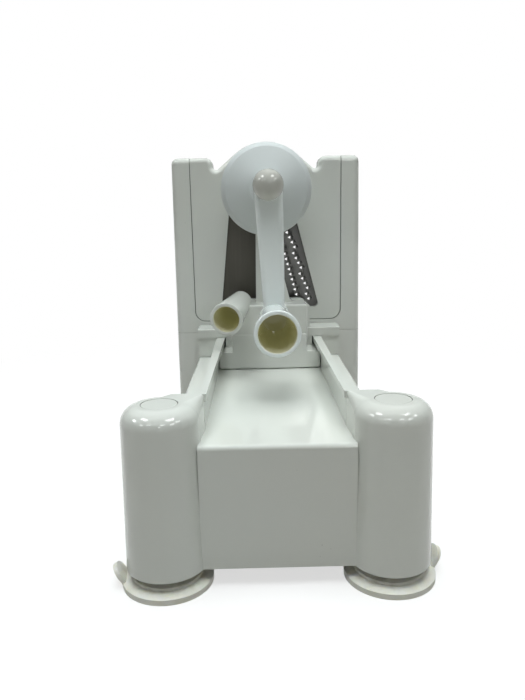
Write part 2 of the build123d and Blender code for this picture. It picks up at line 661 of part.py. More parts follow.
with BuildPart() as cartridge_frame:
    with BuildSketch(facing(FACE_Y)) as outline:
        make_face(cartridge_outline())
        fillet(outline.vertices().group_by(Axis.Y)[0], CARTRIDGE_CORNER_R)
        for side in SIDES:
            fillet(outline.vertices().sort_by_distance((side * EAR_INNER_X, EAR_TOP_Z))[0], EAR_ROUND)
            fillet(outline.vertices().sort_by_distance((side * EAR_INNER_X, NOTCH_Z))[0], NOTCH_ROUND)
    extrude(amount=-CARTRIDGE_DEPTH)
    arch_rim = cartridge_frame.edges().filter_by_position(Axis.Y, FACE_Y - 0.1, FACE_Y + 0.1)
    fillet(arch_rim.filter_by_position(Axis.Z, NOTCH_Z - 5, HOUSING_TOP_Z + 20), ARCH_ROUND)
    with BuildSketch(facing(FACE_Y + CARTRIDGE_FACE)) as pocket:
        with BuildLine():
            Polyline(
                (-CARTRIDGE_HALF + WALL, CARTRIDGE_BOTTOM_Z + WALL),
                (CARTRIDGE_HALF - WALL, CARTRIDGE_BOTTOM_Z + WALL),
                (CARTRIDGE_HALF - WALL, POCKET_TOP_Z),
                (-CARTRIDGE_HALF + WALL, POCKET_TOP_Z),
                close=True,
            )
        make_face()
        fillet(pocket.vertices(), CARTRIDGE_CORNER_R - WALL)
    extrude(amount=-CARTRIDGE_DEPTH, mode=Mode.SUBTRACT)
    with BuildSketch(facing(FACE_Y + CARTRIDGE_FACE)):
        with Locations((0, AXIS_Z)):
            Circle(ARCH_R - WALL)
    extrude(amount=-CARTRIDGE_DEPTH, mode=Mode.SUBTRACT)
    with BuildSketch(facing(FACE_Y + CARTRIDGE_FACE)):
        with Locations((0, AXIS_Z)):
            Circle(CORER_R + WALL)
    extrude(amount=-(CARTRIDGE_DEPTH - CARTRIDGE_FACE))
    with BuildSketch(facing(FACE_Y + CARTRIDGE_FACE)):
        with Locations(((SLICE_GAP_X + CARTRIDGE_HALF - WALL) / 2, (CARTRIDGE_BOTTOM_Z + WALL + POCKET_TOP_Z) / 2)):
            Rectangle(CARTRIDGE_HALF - WALL - SLICE_GAP_X, POCKET_TOP_Z - CARTRIDGE_BOTTOM_Z - WALL)
    extrude(amount=-SLICE_THICKNESS)
    with BuildSketch(facing(FACE_Y)) as window:
        with BuildLine():
            Polyline(
                (WINDOW_TOP_LEFT, WINDOW_TOP_Z),
                (WINDOW_TOP_RIGHT, WINDOW_TOP_Z),
                (WINDOW_BOTTOM_RIGHT, WINDOW_BOTTOM_Z),
                (WINDOW_BOTTOM_LEFT, WINDOW_BOTTOM_Z),
                close=True,
            )
        make_face()
        fillet(window.vertices(), 3.0)
    extrude(amount=-CARTRIDGE_FACE - SLICE_THICKNESS, mode=Mode.SUBTRACT)
    with BuildSketch(facing(FACE_Y)):
        with Locations((0, AXIS_Z)):
            Circle(CORER_R)
    extrude(amount=-CARTRIDGE_DEPTH, mode=Mode.SUBTRACT)
    for side in SIDES:
        with BuildSketch(Plane.XY.offset(GROOVE_BOTTOM_Z)):
            with Locations((side * (CARTRIDGE_HALF - 1), GROOVE_Y + GROOVE_WIDTH / 2)):
                Rectangle(2 * (GROOVE_DEPTH + 1), GROOVE_WIDTH - 2 * SLIDE_GAP)
        extrude(amount=TONGUE_TOP_Z - GROOVE_BOTTOM_Z)
    with BuildSketch(facing(BLADE_SCREW_TIP_Y)):
        with Locations(BLADE_SCREWS + PLATE_SCREWS):
            Circle(BLADE_SCREW_R)
    extrude(amount=BLADE_SCREW_TIP_Y - CARTRIDGE_DEPTH - FACE_Y, mode=Mode.SUBTRACT)
cartridge_frame.part.label = "cartridge_frame"
export_step(cartridge_frame.part, "parts/cartridge_frame.step")

# Straight slicing blade: a wide steel plate whose bevelled right edge stands along a radius
BLADE_Y = FACE_Y + CARTRIDGE_FACE
with BuildPart() as slicing_blade:
    with BuildSketch(facing(BLADE_Y)):
        with BuildLine():
            Polyline(
                (window_edge(PLATE_TOP_Z, WINDOW_TOP_LEFT, WINDOW_BOTTOM_LEFT) - PLATE_LAP, PLATE_TOP_Z),
                (BLADE_EDGE_X, PLATE_TOP_Z),
                (BLADE_EDGE_X, PLATE_BOTTOM_Z),
                (window_edge(PLATE_BOTTOM_Z, WINDOW_TOP_LEFT, WINDOW_BOTTOM_LEFT) - PLATE_LAP, PLATE_BOTTOM_Z),
                close=True,
            )
        make_face()
        with Locations((0, AXIS_Z)):
            Circle(CORER_R + WALL + 0.3, mode=Mode.SUBTRACT)
        with Locations(BLADE_SCREWS):
            Circle(BLADE_SCREW_R, mode=Mode.SUBTRACT)
    extrude(amount=-BLADE_THICKNESS)
    with BuildSketch(Plane.XY.offset(PLATE_BOTTOM_Z)):
        with BuildLine():
            Polyline(
                (BLADE_EDGE_X - BEVEL_WIDTH, BLADE_Y + BLADE_THICKNESS),
                (BLADE_EDGE_X, BLADE_Y + 0.2),
                (BLADE_EDGE_X, BLADE_Y + BLADE_THICKNESS),
                close=True,
            )
        make_face()
    extrude(amount=PLATE_TOP_Z - PLATE_BOTTOM_Z, mode=Mode.SUBTRACT)
slicing_blade.part.label = "slicing_blade"
export_step(slicing_blade.part, "parts/slicing_blade.step")

# Toothed plate: lies deeper than the blade by the slice's thickness, with rows of lanced teeth
TOOTH_PLATE_Y = BLADE_Y + SLICE_THICKNESS
outer_slots = []
for group in range(OUTER_GROUPS):
    for step in range(TEETH_IN_GROUP):
        tooth_x = OUTER_START[0] + group * GROUP_STEP[0] + step * TOOTH_STEP[0]
        tooth_z = OUTER_START[1] + group * GROUP_STEP[1] + step * TOOTH_STEP[1]
        if tooth_z > OUTER_END_Z:
            outer_slots.append((tooth_x, tooth_z))
inner_slots = []
for step in range(INNER_COUNT):
    inner_slots.append((INNER_START[0] + step * INNER_STEP[0], INNER_START[1] + step * INNER_STEP[1]))
teeth = [(x + TOOTH_SHIFT[0], z + TOOTH_SHIFT[1]) for x, z in outer_slots + inner_slots]

with BuildPart() as tooth_plate:
    with BuildSketch(facing(TOOTH_PLATE_Y)):
        with BuildLine():
            Polyline(
                (SLICE_GAP_X, PLATE_TOP_Z),
                (window_edge(PLATE_TOP_Z, WINDOW_TOP_RIGHT, WINDOW_BOTTOM_RIGHT) + PLATE_LAP, PLATE_TOP_Z),
                (window_edge(PLATE_BOTTOM_Z, WINDOW_TOP_RIGHT, WINDOW_BOTTOM_RIGHT) + PLATE_LAP, PLATE_BOTTOM_Z),
                (SLICE_GAP_X, PLATE_BOTTOM_Z),
                close=True,
            )
        make_face()
        with Locations((0, AXIS_Z)):
            Circle(CORER_R + WALL + 0.3, mode=Mode.SUBTRACT)
        with Locations(PLATE_SCREWS):
            Circle(BLADE_SCREW_R, mode=Mode.SUBTRACT)
        with Locations(outer_slots + inner_slots):
            RegularPolygon(radius=TOOTH_SLOT_R, side_count=3, rotation=180, mode=Mode.SUBTRACT)
    extrude(amount=-PLATE_THICKNESS)
    with BuildSketch(facing(TOOTH_PLATE_Y)):
        with Locations(teeth):
            RegularPolygon(radius=TOOTH_R, side_count=3, rotation=-30)
    extrude(amount=TOOTH_HEIGHT, taper=TOOTH_TAPER)
tooth_plate.part.label = "tooth_plate"
export_step(tooth_plate.part, "parts/tooth_plate.step")

with BuildPart() as coring_ring:
    with BuildSketch(facing(FACE_Y + SLIDE_GAP)):
        with Locations((0, AXIS_Z)):
            Circle(CORER_R)
            Circle(CORER_R - CORER_WALL, mode=Mode.SUBTRACT)
    extrude(amount=-(CARTRIDGE_DEPTH - SLIDE_GAP))
    mouth = coring_ring.edges().filter_by(GeomType.CIRCLE).group_by(Axis.Y)[0].sort_by(SortBy.RADIUS)[-1]
    chamfer(mouth, 1.2, CORER_WALL - 0.15)
coring_ring.part.label = "coring_ring"
export_step(coring_ring.part, "parts/coring_ring.step")

with BuildPart() as blade_screws:
    for places, head_y in ((BLADE_SCREWS, BLADE_Y + BLADE_THICKNESS), (PLATE_SCREWS, TOOTH_PLATE_Y + PLATE_THICKNESS)):
        with BuildSketch(facing(BLADE_SCREW_TIP_Y)):
            with Locations(places):
                Circle(BLADE_SCREW_R)
        extrude(amount=BLADE_SCREW_TIP_Y - head_y)
        with BuildSketch(facing(head_y)):
            with Locations(places):
                Circle(BLADE_SCREW_HEAD_R)
        extrude(amount=-BLADE_SCREW_HEAD, taper=12)
blade_screws.part.label = "blade_screws"
export_step(blade_screws.part, "parts/blade_screws.step")

# Carriage: apron between the rails, feet over them, block, post and bearing head in one moulding
push_axis = Plane(
    origin=PUSH_ROOT,
    z_dir=tuple(rim - root for rim, root in zip(PUSH_RIM, PUSH_ROOT)),
)
push_length = math.dist(PUSH_ROOT, PUSH_RIM)

with BuildPart() as carriage:
    with BuildSketch(facing(APRON_FRONT_Y)) as apron:
        with BuildLine():
            Polyline(
                (-APRON_HALF, DECK_Z + TRAVEL_GAP),
                (APRON_HALF, DECK_Z + TRAVEL_GAP),
                (APRON_HALF, APRON_LEDGE_Z),
                (APRON_NECK_HALF, APRON_LEDGE_Z),
                (APRON_NECK_HALF, APRON_TOP_Z),
                (-APRON_NECK_HALF, APRON_TOP_Z),
                (-APRON_NECK_HALF, APRON_LEDGE_Z),
                (-APRON_HALF, APRON_LEDGE_Z),
                close=True,
            )
        make_face()
        fillet(apron.vertices().group_by(Axis.Y)[0], 2.0)
        fillet(apron.vertices().group_by(Axis.Y)[-1], 1.5)
    extrude(amount=APRON_FRONT_Y - CARRIAGE_BACK_Y)
    with BuildSketch(Plane.YZ):
        with BuildLine():
            Polyline(
                (APRON_FRONT_Y - 5, DECK_Z),
                (APRON_FRONT_Y, DECK_Z),
                (BLOCK_FRONT_Y - 0.6, APRON_TOP_Z),
                (BLOCK_FRONT_Y - 0.6, APRON_TOP_Z + 1),
                (APRON_FRONT_Y - 5, APRON_TOP_Z + 1),
                close=True,
            )
        make_face()
    extrude(amount=APRON_HALF + 1, both=True, mode=Mode.SUBTRACT)
    front_rim = carriage.faces().sort_by(Axis.Y)[0].edges()
    fillet(front_rim, 1.2)

    # Webs between the rail lips, then the feet that lie over the rails and stand on the shelves
    with BuildSketch(facing(FOOT_FRONT_Y)):
        with Locations((0, (APRON_LEDGE_Z + FOOT_TOP_Z) / 2)):
            Rectangle(2 * WEB_HALF, FOOT_TOP_Z - APRON_LEDGE_Z)
    extrude(amount=FOOT_FRONT_Y - CARRIAGE_BACK_Y)
    for side in SIDES:
        with BuildSketch(facing(FOOT_FRONT_Y)):
            with Locations((side * (WEB_HALF + FOOT_HALF - 2) / 2, (RAIL_TOP_Z + TRAVEL_GAP + FOOT_TOP_Z) / 2)):
                Rectangle(FOOT_HALF - WEB_HALF + 2, FOOT_TOP_Z - RAIL_TOP_Z - TRAVEL_GAP)
        extrude(amount=FOOT_FRONT_Y - CARRIAGE_BACK_Y)
        with BuildSketch(facing(FOOT_FRONT_Y + FOOT_LINE_STEP)):
            leg_inner = RAIL_OUTER_HALF + TRAVEL_GAP
            with Locations((side * (leg_inner + FOOT_HALF) / 2, (SHELF_Z + TRAVEL_GAP + RAIL_TOP_Z + 1) / 2)):
                Rectangle(FOOT_HALF - leg_inner, RAIL_TOP_Z + 1 - SHELF_Z - TRAVEL_GAP)
        extrude(amount=FOOT_FRONT_Y + FOOT_LINE_STEP - CARRIAGE_BACK_Y)
    foot_rims = carriage.edges().filter_by_position(Axis.Y, FOOT_FRONT_Y - 0.1, FOOT_FRONT_Y + 0.1)
    foot_tops = foot_rims.filter_by(Axis.X).filter_by_position(Axis.Z, FOOT_TOP_Z - 0.1, FOOT_TOP_Z + 0.1)
    chamfer(foot_tops, 0.5)

    # Block
    with BuildSketch(facing(BLOCK_FRONT_Y)) as block:
        with Locations((0, (RAIL_TOP_Z + BLOCK_TOP_Z) / 2)):
            Rectangle(2 * BLOCK_HALF, BLOCK_TOP_Z - RAIL_TOP_Z)
        fillet(block.vertices().group_by(Axis.Y)[-1], 2.0)
    extrude(amount=BLOCK_FRONT_Y - CARRIAGE_BACK_Y)
    block_rim = carriage.edges().filter_by_position(Axis.Y, BLOCK_FRONT_Y - 0.1, BLOCK_FRONT_Y + 0.1)
    fillet(block_rim.filter_by_position(Axis.Z, APRON_TOP_Z + 2, BLOCK_TOP_Z + 1), 1.5)

    # Shoulders beside the block's back part, and a low rib across its top behind the post
    with BuildSketch(facing(SHOULDER_FRONT_Y)):
        with BuildLine():
            Polyline(
                (-SHOULDER_HALF, RAIL_TOP_Z + 1),
                (SHOULDER_HALF, RAIL_TOP_Z + 1),
                (SHOULDER_HALF, BLOCK_TOP_Z - SHOULDER_DROP),
                (BLOCK_HALF - 1, BLOCK_TOP_Z),
                (1 - BLOCK_HALF, BLOCK_TOP_Z),
                (-SHOULDER_HALF, BLOCK_TOP_Z - SHOULDER_DROP),
                close=True,
            )
        make_face()
    extrude(amount=SHOULDER_FRONT_Y - CARRIAGE_BACK_Y)
    with BuildSketch(facing(POST_BACK_Y)) as top_rib:
        with Locations((0, BLOCK_TOP_Z + RIB_HEIGHT / 2 - 1)):
            Rectangle(2 * RIB_HALF, RIB_HEIGHT + 2)
        fillet(top_rib.vertices().group_by(Axis.Y)[-1], RIB_HEIGHT / 2)
    extrude(amount=POST_BACK_Y - CARRIAGE_BACK_Y)

    # Post whose foot widens to one side, and the round head
    with BuildSketch(facing(POST_FRONT_Y)) as post:
        with BuildLine():
            Polyline(
                (POST_LEFT, BLOCK_TOP_Z - 1),
                (POST_LEFT + 1.2, AXIS_Z),
                (POST_RIGHT, AXIS_Z),
                (POST_RIGHT, POST_SWEEP_Z),
                (POST_FOOT_X, BLOCK_TOP_Z),
                (POST_FOOT_X + 2 * POST_FOOT_ROUND, BLOCK_TOP_Z),
                (POST_FOOT_X + 2 * POST_FOOT_ROUND, BLOCK_TOP_Z - 1),
                close=True,
            )
        make_face()
        fillet(post.vertices().sort_by_distance((POST_FOOT_X, BLOCK_TOP_Z))[0], POST_FOOT_ROUND)
        fillet(post.vertices().sort_by_distance((POST_RIGHT, POST_SWEEP_Z))[0], 6 * POST_FOOT_ROUND)
    extrude(amount=POST_FRONT_Y - POST_BACK_Y)
    with BuildSketch(facing(HEAD_FRONT_Y)):
        with Locations((0, AXIS_Z)):
            Circle(HEAD_R)
    extrude(amount=HEAD_FRONT_Y - HEAD_BACK_Y)
    with BuildSketch(facing(HUB_FRONT_Y)):
        with Locations((0, AXIS_Z)):
            Circle(HUB_R)
    extrude(amount=HUB_FRONT_Y - HEAD_BACK_Y)
    with BuildSketch(backing(HEAD_BACK_Y)):
        with Locations((0, AXIS_Z)):
            Circle(HOLDER_R + 1.5)
    extrude(amount=CARRIAGE_BACK_Y - HEAD_BACK_Y, mode=Mode.SUBTRACT)
    with BuildSketch(facing(HUB_FRONT_Y)):
        with Locations((0, AXIS_Z)):
            Circle(BUSH_R)
    extrude(amount=HUB_FRONT_Y - HEAD_BACK_Y, mode=Mode.SUBTRACT)

    # Holes and seats for the screws that hold the shield
    with BuildSketch(facing(HEAD_FRONT_Y)):
        with Locations((0, AXIS_Z)), PolarLocations(SHIELD_SCREW_RING, SHIELD_SCREWS, start_angle=90):
            Circle(SHIELD_SCREW_R)
    extrude(amount=HEAD_FRONT_Y - HEAD_BACK_Y, mode=Mode.SUBTRACT)
    with BuildSketch(facing(SHIELD_SCREW_SEAT_Y)):
        with Locations((0, AXIS_Z)), PolarLocations(SHIELD_SCREW_RING, SHIELD_SCREWS, start_angle=90):
            Circle(2 * SHIELD_SCREW_R + SLIDE_GAP)
    extrude(amount=SHIELD_SCREW_SEAT_Y - HEAD_BACK_Y, mode=Mode.SUBTRACT)

    # Push handle: a tapering tube that splays out to the left and opens to the front
    with BuildSketch(push_axis):
        Circle(PUSH_ROOT_R)
    with BuildSketch(push_axis.offset(push_length)):
        Circle(PUSH_RIM_R)
    loft()
    with BuildSketch(push_axis.offset(PUSH_FLOOR)):
        Circle(PUSH_FLOOR_R)
    with BuildSketch(push_axis.offset(push_length)):
        Circle(PUSH_RIM_R - PUSH_WALL)
    loft(mode=Mode.SUBTRACT)
    rims = carriage.edges().filter_by(GeomType.CIRCLE).sort_by_distance(PUSH_RIM)[0:2]
    fillet(rims, 0.9)

    # Hollow below the block, open at the back and below
    with BuildSketch(backing(CARRIAGE_BACK_Y)):
        with Locations((0, (DECK_Z + BLOCK_TOP_Z - WALL) / 2)):
            Rectangle(2 * (APRON_NECK_HALF - WALL), BLOCK_TOP_Z - WALL - DECK_Z)
    extrude(amount=-(CARRIAGE_BACK_Y - BLOCK_FRONT_Y - WALL), mode=Mode.SUBTRACT)
carriage.part.label = "carriage"
export_step(carriage.part, "parts/carriage.step")

# Bearing: a shallow conical shield on the head, three screws from behind and a plain bush
with BuildPart() as bearing_shield:
    with BuildSketch(Plane.YZ):
        with BuildLine():
            Polyline(
                (SHIELD_NOSE_Y, AXIS_Z + SHIELD_HOLE_R),
                (SHIELD_NOSE_Y, AXIS_Z + SHIELD_HOLE_R + 2.5),
                (SHIELD_RIM_Y - 1.6, AXIS_Z + SHIELD_R),
                (SHIELD_RIM_Y, AXIS_Z + SHIELD_R),
                (SHIELD_RIM_Y, AXIS_Z + SHIELD_R - SHIELD_THICKNESS),
                (SHIELD_NOSE_Y + SHIELD_THICKNESS, AXIS_Z + SHIELD_HOLE_R + 2.0),
                (SHIELD_NOSE_Y + SHIELD_THICKNESS, AXIS_Z + SHIELD_HOLE_R),
                close=True,
            )
        make_face()
        with Locations(((SHIELD_FOOT_Y + HEAD_FRONT_Y) / 2, AXIS_Z + SHIELD_FOOT_R)):
            Rectangle(HEAD_FRONT_Y - SHIELD_FOOT_Y, SHIELD_THICKNESS)
    revolve(axis=Axis((0, 0, AXIS_Z), (0, 1, 0)))
    rim_edges = bearing_shield.edges().filter_by(GeomType.CIRCLE).sort_by(SortBy.RADIUS)[-2:]
    fillet(rim_edges.sort_by(Axis.Y)[0], 0.7)
    with BuildSketch(facing(HEAD_FRONT_Y)):
        with Locations((0, AXIS_Z)), PolarLocations(SHIELD_SCREW_RING, SHIELD_SCREWS, start_angle=90):
            Circle(2.5 * SHIELD_SCREW_R)
    extrude(amount=HEAD_FRONT_Y - SHIELD_BOSS_Y)
    with BuildSketch(facing(HEAD_FRONT_Y)):
        with Locations((0, AXIS_Z)), PolarLocations(SHIELD_SCREW_RING, SHIELD_SCREWS, start_angle=90):
            Circle(SHIELD_SCREW_R)
    extrude(amount=SHIELD_SCREW_DEPTH, mode=Mode.SUBTRACT)
bearing_shield.part.label = "bearing_shield"
export_step(bearing_shield.part, "parts/bearing_shield.step")

with BuildPart() as shield_screws:
    with BuildSketch(facing(SHIELD_SCREW_SEAT_Y)):
        with Locations((0, AXIS_Z)), PolarLocations(SHIELD_SCREW_RING, SHIELD_SCREWS, start_angle=90):
            Circle(SHIELD_SCREW_R)
    extrude(amount=SHIELD_SCREW_SEAT_Y - HEAD_FRONT_Y + SHIELD_SCREW_DEPTH)
    with BuildSketch(facing(SHIELD_SCREW_SEAT_Y)):
        with Locations((0, AXIS_Z)), PolarLocations(SHIELD_SCREW_RING, SHIELD_SCREWS, start_angle=90):
            Circle(2 * SHIELD_SCREW_R)
    extrude(amount=-SHIELD_SCREW_HEAD, taper=10)
shield_screws.part.label = "shield_screws"
export_step(shield_screws.part, "parts/shield_screws.step")

with BuildPart() as bearing_bush:
    with BuildSketch(facing(HEAD_BACK_Y)):
        with Locations((0, AXIS_Z)):
            Circle(BUSH_R)
    extrude(amount=HEAD_BACK_Y - HUB_FRONT_Y)
    with BuildSketch(facing(HUB_FRONT_Y)):
        with Locations((0, AXIS_Z)):
            Circle(HUB_R - 0.4)
    extrude(amount=BUSH_FLANGE)
    with BuildSketch(facing(HUB_FRONT_Y - BUSH_FLANGE)):
        with Locations((0, AXIS_Z)):
            Circle(SHAFT_R + RUNNING_GAP)
    extrude(amount=HUB_FRONT_Y - BUSH_FLANGE - HEAD_BACK_Y, mode=Mode.SUBTRACT)
bearing_bush.part.label = "bearing_bush"
export_step(bearing_bush.part, "parts/bearing_bush.step")

# Crank: one moulding of arm, barrel and open tube handle, hanging almost straight down
with BuildPart() as crank_arm:
    with BuildSketch(crank_plane(ARM_FRONT_Y)) as arm:
        with BuildLine():
            Polyline(
                (-ARM_TOP_HALF, 0),
                (ARM_TOP_HALF, 0),
                (ARM_FOOT_HALF, -CRANK_LENGTH),
                (-ARM_FOOT_HALF, -CRANK_LENGTH),
                close=True,
            )
        make_face()
        Circle(ARM_HUB_R)
        with Locations((0, -CRANK_LENGTH)):
            Circle(HANDLE_ROOT_R)
        handle_joins = arm.vertices().filter_by_position(Axis.Y, -CRANK_LENGTH + 1, -CRANK_LENGTH + HANDLE_ROOT_R)
        fillet(handle_joins, 2 * ARM_ROUND)
    extrude(amount=ARM_FRONT_Y - ARM_BACK_Y)
    fillet(crank_arm.faces().sort_by(Axis.Y)[0].edges(), ARM_ROUND)
    fillet(crank_arm.faces().sort_by(Axis.Y)[-1].edges(), ARM_BACK_ROUND)
    with BuildSketch(crank_plane(BARREL_END_Y)):
        Circle(BARREL_R)
    extrude(amount=BARREL_END_Y - ARM_BACK_Y + 1)

    # Handle, tapering towards the arm, with its blind bore
    with BuildSketch(crank_plane(HANDLE_RIM_Y)):
        with Locations((0, -CRANK_LENGTH)):
            Circle(HANDLE_RIM_R)
    extrude(amount=HANDLE_RIM_Y - ARM_FRONT_Y - ARM_ROUND, taper=HANDLE_TAPER)
    with BuildSketch(crank_plane(HANDLE_RIM_Y)):
        with Locations((0, -CRANK_LENGTH)):
            Circle(HANDLE_RIM_R - HANDLE_WALL)
    extrude(amount=HANDLE_RIM_Y - HANDLE_FLOOR_Y, taper=HANDLE_TAPER, mode=Mode.SUBTRACT)
    rims = crank_arm.edges().filter_by(GeomType.CIRCLE).group_by(Axis.Y)[0]
    fillet(rims, 1.0)

    # Seat for the cap and screw, then the bore, with a flat that carries the turning force
    with BuildSketch(crank_plane(ARM_FRONT_Y)):
        Circle(CAP_SEAT_R)
    extrude(amount=ARM_FRONT_Y - SCREW_SEAT_Y, mode=Mode.SUBTRACT)
    with BuildSketch(crank_plane(SCREW_SEAT_Y)) as flatted_bore:
        Circle(SHAFT_R)
        with Locations((0, SHAFT_FLAT + SHAFT_R)):
            Rectangle(2 * SHAFT_R, 2 * SHAFT_R, mode=Mode.SUBTRACT)
    extrude(amount=SCREW_SEAT_Y - FLAT_END_Y, mode=Mode.SUBTRACT)
    with BuildSketch(crank_plane(FLAT_END_Y)):
        Circle(SHAFT_R)
    extrude(amount=FLAT_END_Y - BARREL_END_Y, mode=Mode.SUBTRACT)
crank_arm.part.label = "crank_arm"
export_step(crank_arm.part, "parts/crank_arm.step")

with BuildPart() as crank_shaft:
    with BuildSketch(crank_plane(SHAFT_FRONT_Y)):
        Circle(SHAFT_R)
    extrude(amount=SHAFT_FRONT_Y - SHAFT_BACK_Y)
    with BuildSketch(crank_plane(SHAFT_FRONT_Y)):
        with Locations((0, SHAFT_FLAT + SHAFT_R)):
            Rectangle(2 * SHAFT_R, 2 * SHAFT_R)
    extrude(amount=SHAFT_FRONT_Y - FLAT_END_Y, mode=Mode.SUBTRACT)
    for end_y, way in ((SHAFT_FRONT_Y, -1), (SHAFT_BACK_Y, 1)):
        with BuildSketch(crank_plane(end_y)):
            Circle(SHAFT_SCREW_R)
        extrude(amount=way * SHAFT_SCREW_DEPTH, mode=Mode.SUBTRACT)
crank_shaft.part.label = "crank_shaft"
export_step(crank_shaft.part, "parts/crank_shaft.step")

with BuildPart() as crank_screw:
    with BuildSketch(crank_plane(SHAFT_FRONT_Y + SHAFT_SCREW_DEPTH - 1)):
        Circle(SHAFT_SCREW_R)
    extrude(amount=SHAFT_FRONT_Y + SHAFT_SCREW_DEPTH - 1 - SCREW_SEAT_Y)
    with BuildSketch(crank_plane(SCREW_SEAT_Y)):
        Circle(CRANK_SCREW_HEAD_R)
    extrude(amount=CRANK_SCREW_HEAD)
    fillet(crank_screw.faces().sort_by(Axis.Y)[0].edges(), 0.8)
    with BuildSketch(crank_plane(SCREW_SEAT_Y - CRANK_SCREW_HEAD)):
        Rectangle(1.4 * CRANK_SCREW_HEAD_R, 1.0)
        Rectangle(1.0, 1.4 * CRANK_SCREW_HEAD_R)
    extrude(amount=-CRANK_SCREW_HEAD / 2, mode=Mode.SUBTRACT)
crank_screw.part.label = "crank_screw"
export_step(crank_screw.part, "parts/crank_screw.step")

with BuildPart() as hub_cap:
    with BuildSketch(Plane.YZ):
        with Locations((CAP_CENTRE_Y, AXIS_Z)):
            Circle(CAP_R)
            Circle(CAP_R - CAP_WALL, mode=Mode.SUBTRACT)
        with Locations((ARM_FRONT_Y + CAP_R, AXIS_Z)):
            Rectangle(2 * CAP_R, 2 * CAP_R, mode=Mode.SUBTRACT)
        with Locations((ARM_FRONT_Y, AXIS_Z - CAP_R)):
            Rectangle(4 * CAP_R, 2 * CAP_R, mode=Mode.SUBTRACT)
    revolve(axis=Axis((0, 0, AXIS_Z), (0, 1, 0)))
    with BuildSketch(facing(ARM_FRONT_Y - CAP_WALL)):
        with Locations((0, AXIS_Z)):
            Circle(CAP_R - CAP_WALL / 2)
            Circle(CAP_SEAT_R - CAP_SKIRT, mode=Mode.SUBTRACT)
    extrude(amount=-CAP_WALL)
    with BuildSketch(facing(ARM_FRONT_Y)):
        with Locations((0, AXIS_Z)):
            Circle(CAP_SEAT_R - 0.05)
            Circle(CAP_SEAT_R - CAP_SKIRT, mode=Mode.SUBTRACT)
    extrude(amount=ARM_FRONT_Y - SCREW_SEAT_Y + 0.2)
hub_cap.part.label = "hub_cap"
export_step(hub_cap.part, "parts/hub_cap.step")

with BuildPart() as crank_washer:
    with BuildSketch(crank_plane(BARREL_END_Y)):
        Circle(BARREL_R)
        Circle(SHAFT_R + 0.1, mode=Mode.SUBTRACT)
    extrude(amount=-CRANK_WASHER)
crank_washer.part.label = "crank_washer"
export_step(crank_washer.part, "parts/crank_washer.step")

# Food holder: a pronged disc on the back end of the shaft, held by a flanged screw
with BuildPart() as food_holder:
    with BuildSketch(crank_plane(HOLDER_FRONT_Y)):
        Circle(HOLDER_HUB_R)
    extrude(amount=HOLDER_FRONT_Y - SHAFT_BACK_Y)
    with BuildSketch(crank_plane(HOLDER_DISC_BACK_Y)):
        Circle(HOLDER_R)
    extrude(amount=HOLDER_DISC_BACK_Y - HOLDER_DISC_FRONT_Y)
    fillet(food_holder.edges().filter_by(GeomType.CIRCLE).sort_by(SortBy.RADIUS)[-2:], 1.0)
    with BuildSketch(crank_plane(HOLDER_DISC_BACK_Y)):
        for ring_r, prongs in PRONG_RINGS:
            with PolarLocations(ring_r, prongs):
                Circle(PRONG_R)
    extrude(amount=HOLDER_DISC_BACK_Y - PRONG_TIP_Y, taper=PRONG_TAPER)
    with BuildSketch(crank_plane(HOLDER_FRONT_Y)):
        Circle(SHAFT_R)
    extrude(amount=HOLDER_FRONT_Y - SHAFT_BACK_Y, mode=Mode.SUBTRACT)
food_holder.part.label = "food_holder"
export_step(food_holder.part, "parts/food_holder.step")

with BuildPart() as holder_screw:
    with BuildSketch(crank_plane(SHAFT_BACK_Y)):
        Circle(SHAFT_SCREW_R)
    extrude(amount=SHAFT_SCREW_DEPTH - 1)
    with BuildSketch(crank_plane(SHAFT_BACK_Y)):
        Circle(HOLDER_HUB_R - 2)
    extrude(amount=-HOLDER_SCREW_HEAD)
    fillet(holder_screw.faces().sort_by(Axis.Y)[-1].edges(), 0.8)
holder_screw.part.label = "holder_screw"
export_step(holder_screw.part, "parts/holder_screw.step")
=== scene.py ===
"""Looks, floor, light and camera for the hand-cranked table spiralizer."""

from __future__ import annotations

import logging
import math
from dataclasses import dataclass, field
from enum import Enum

import bmesh
import bpy
from mathutils import Matrix, Vector


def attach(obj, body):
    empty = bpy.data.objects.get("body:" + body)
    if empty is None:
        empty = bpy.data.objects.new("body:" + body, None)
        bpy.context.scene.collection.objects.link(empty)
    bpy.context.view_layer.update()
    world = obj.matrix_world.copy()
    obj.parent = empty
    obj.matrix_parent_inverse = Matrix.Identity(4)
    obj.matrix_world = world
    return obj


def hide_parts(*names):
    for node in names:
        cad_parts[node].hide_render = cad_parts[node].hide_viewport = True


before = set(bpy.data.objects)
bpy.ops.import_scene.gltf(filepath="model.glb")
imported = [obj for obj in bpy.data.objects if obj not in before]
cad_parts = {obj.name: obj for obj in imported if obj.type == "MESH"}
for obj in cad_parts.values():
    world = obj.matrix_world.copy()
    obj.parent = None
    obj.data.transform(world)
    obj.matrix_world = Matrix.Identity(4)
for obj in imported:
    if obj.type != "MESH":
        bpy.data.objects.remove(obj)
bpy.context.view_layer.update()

LOG = logging.getLogger("spiralizer")
MM = 0.001
AXIS_Z = 206.5
SHARP_ANGLE = math.radians(32)
FLAT_ANGLE = math.radians(0.4)
WELD = 0.002 * MM

BMesh = bmesh.types.BMesh
Material = bpy.types.Material
Mesh = bpy.types.Mesh
Node = bpy.types.Node
NodeSocket = bpy.types.NodeSocket
Object = bpy.types.Object

Colour = tuple[float, float, float]
Point = tuple[float, float, float]
BLACK: Colour = (0.0, 0.0, 0.0)
WHITE: Colour = (1.0, 1.0, 1.0)
# The crank's plastic: a cooler tone, and brighter than the base's plastic as painted light on the
# crank arm.
COOL_WHITE_PAINTED_LIGHT: Colour = (0.88, 0.935, 0.925)

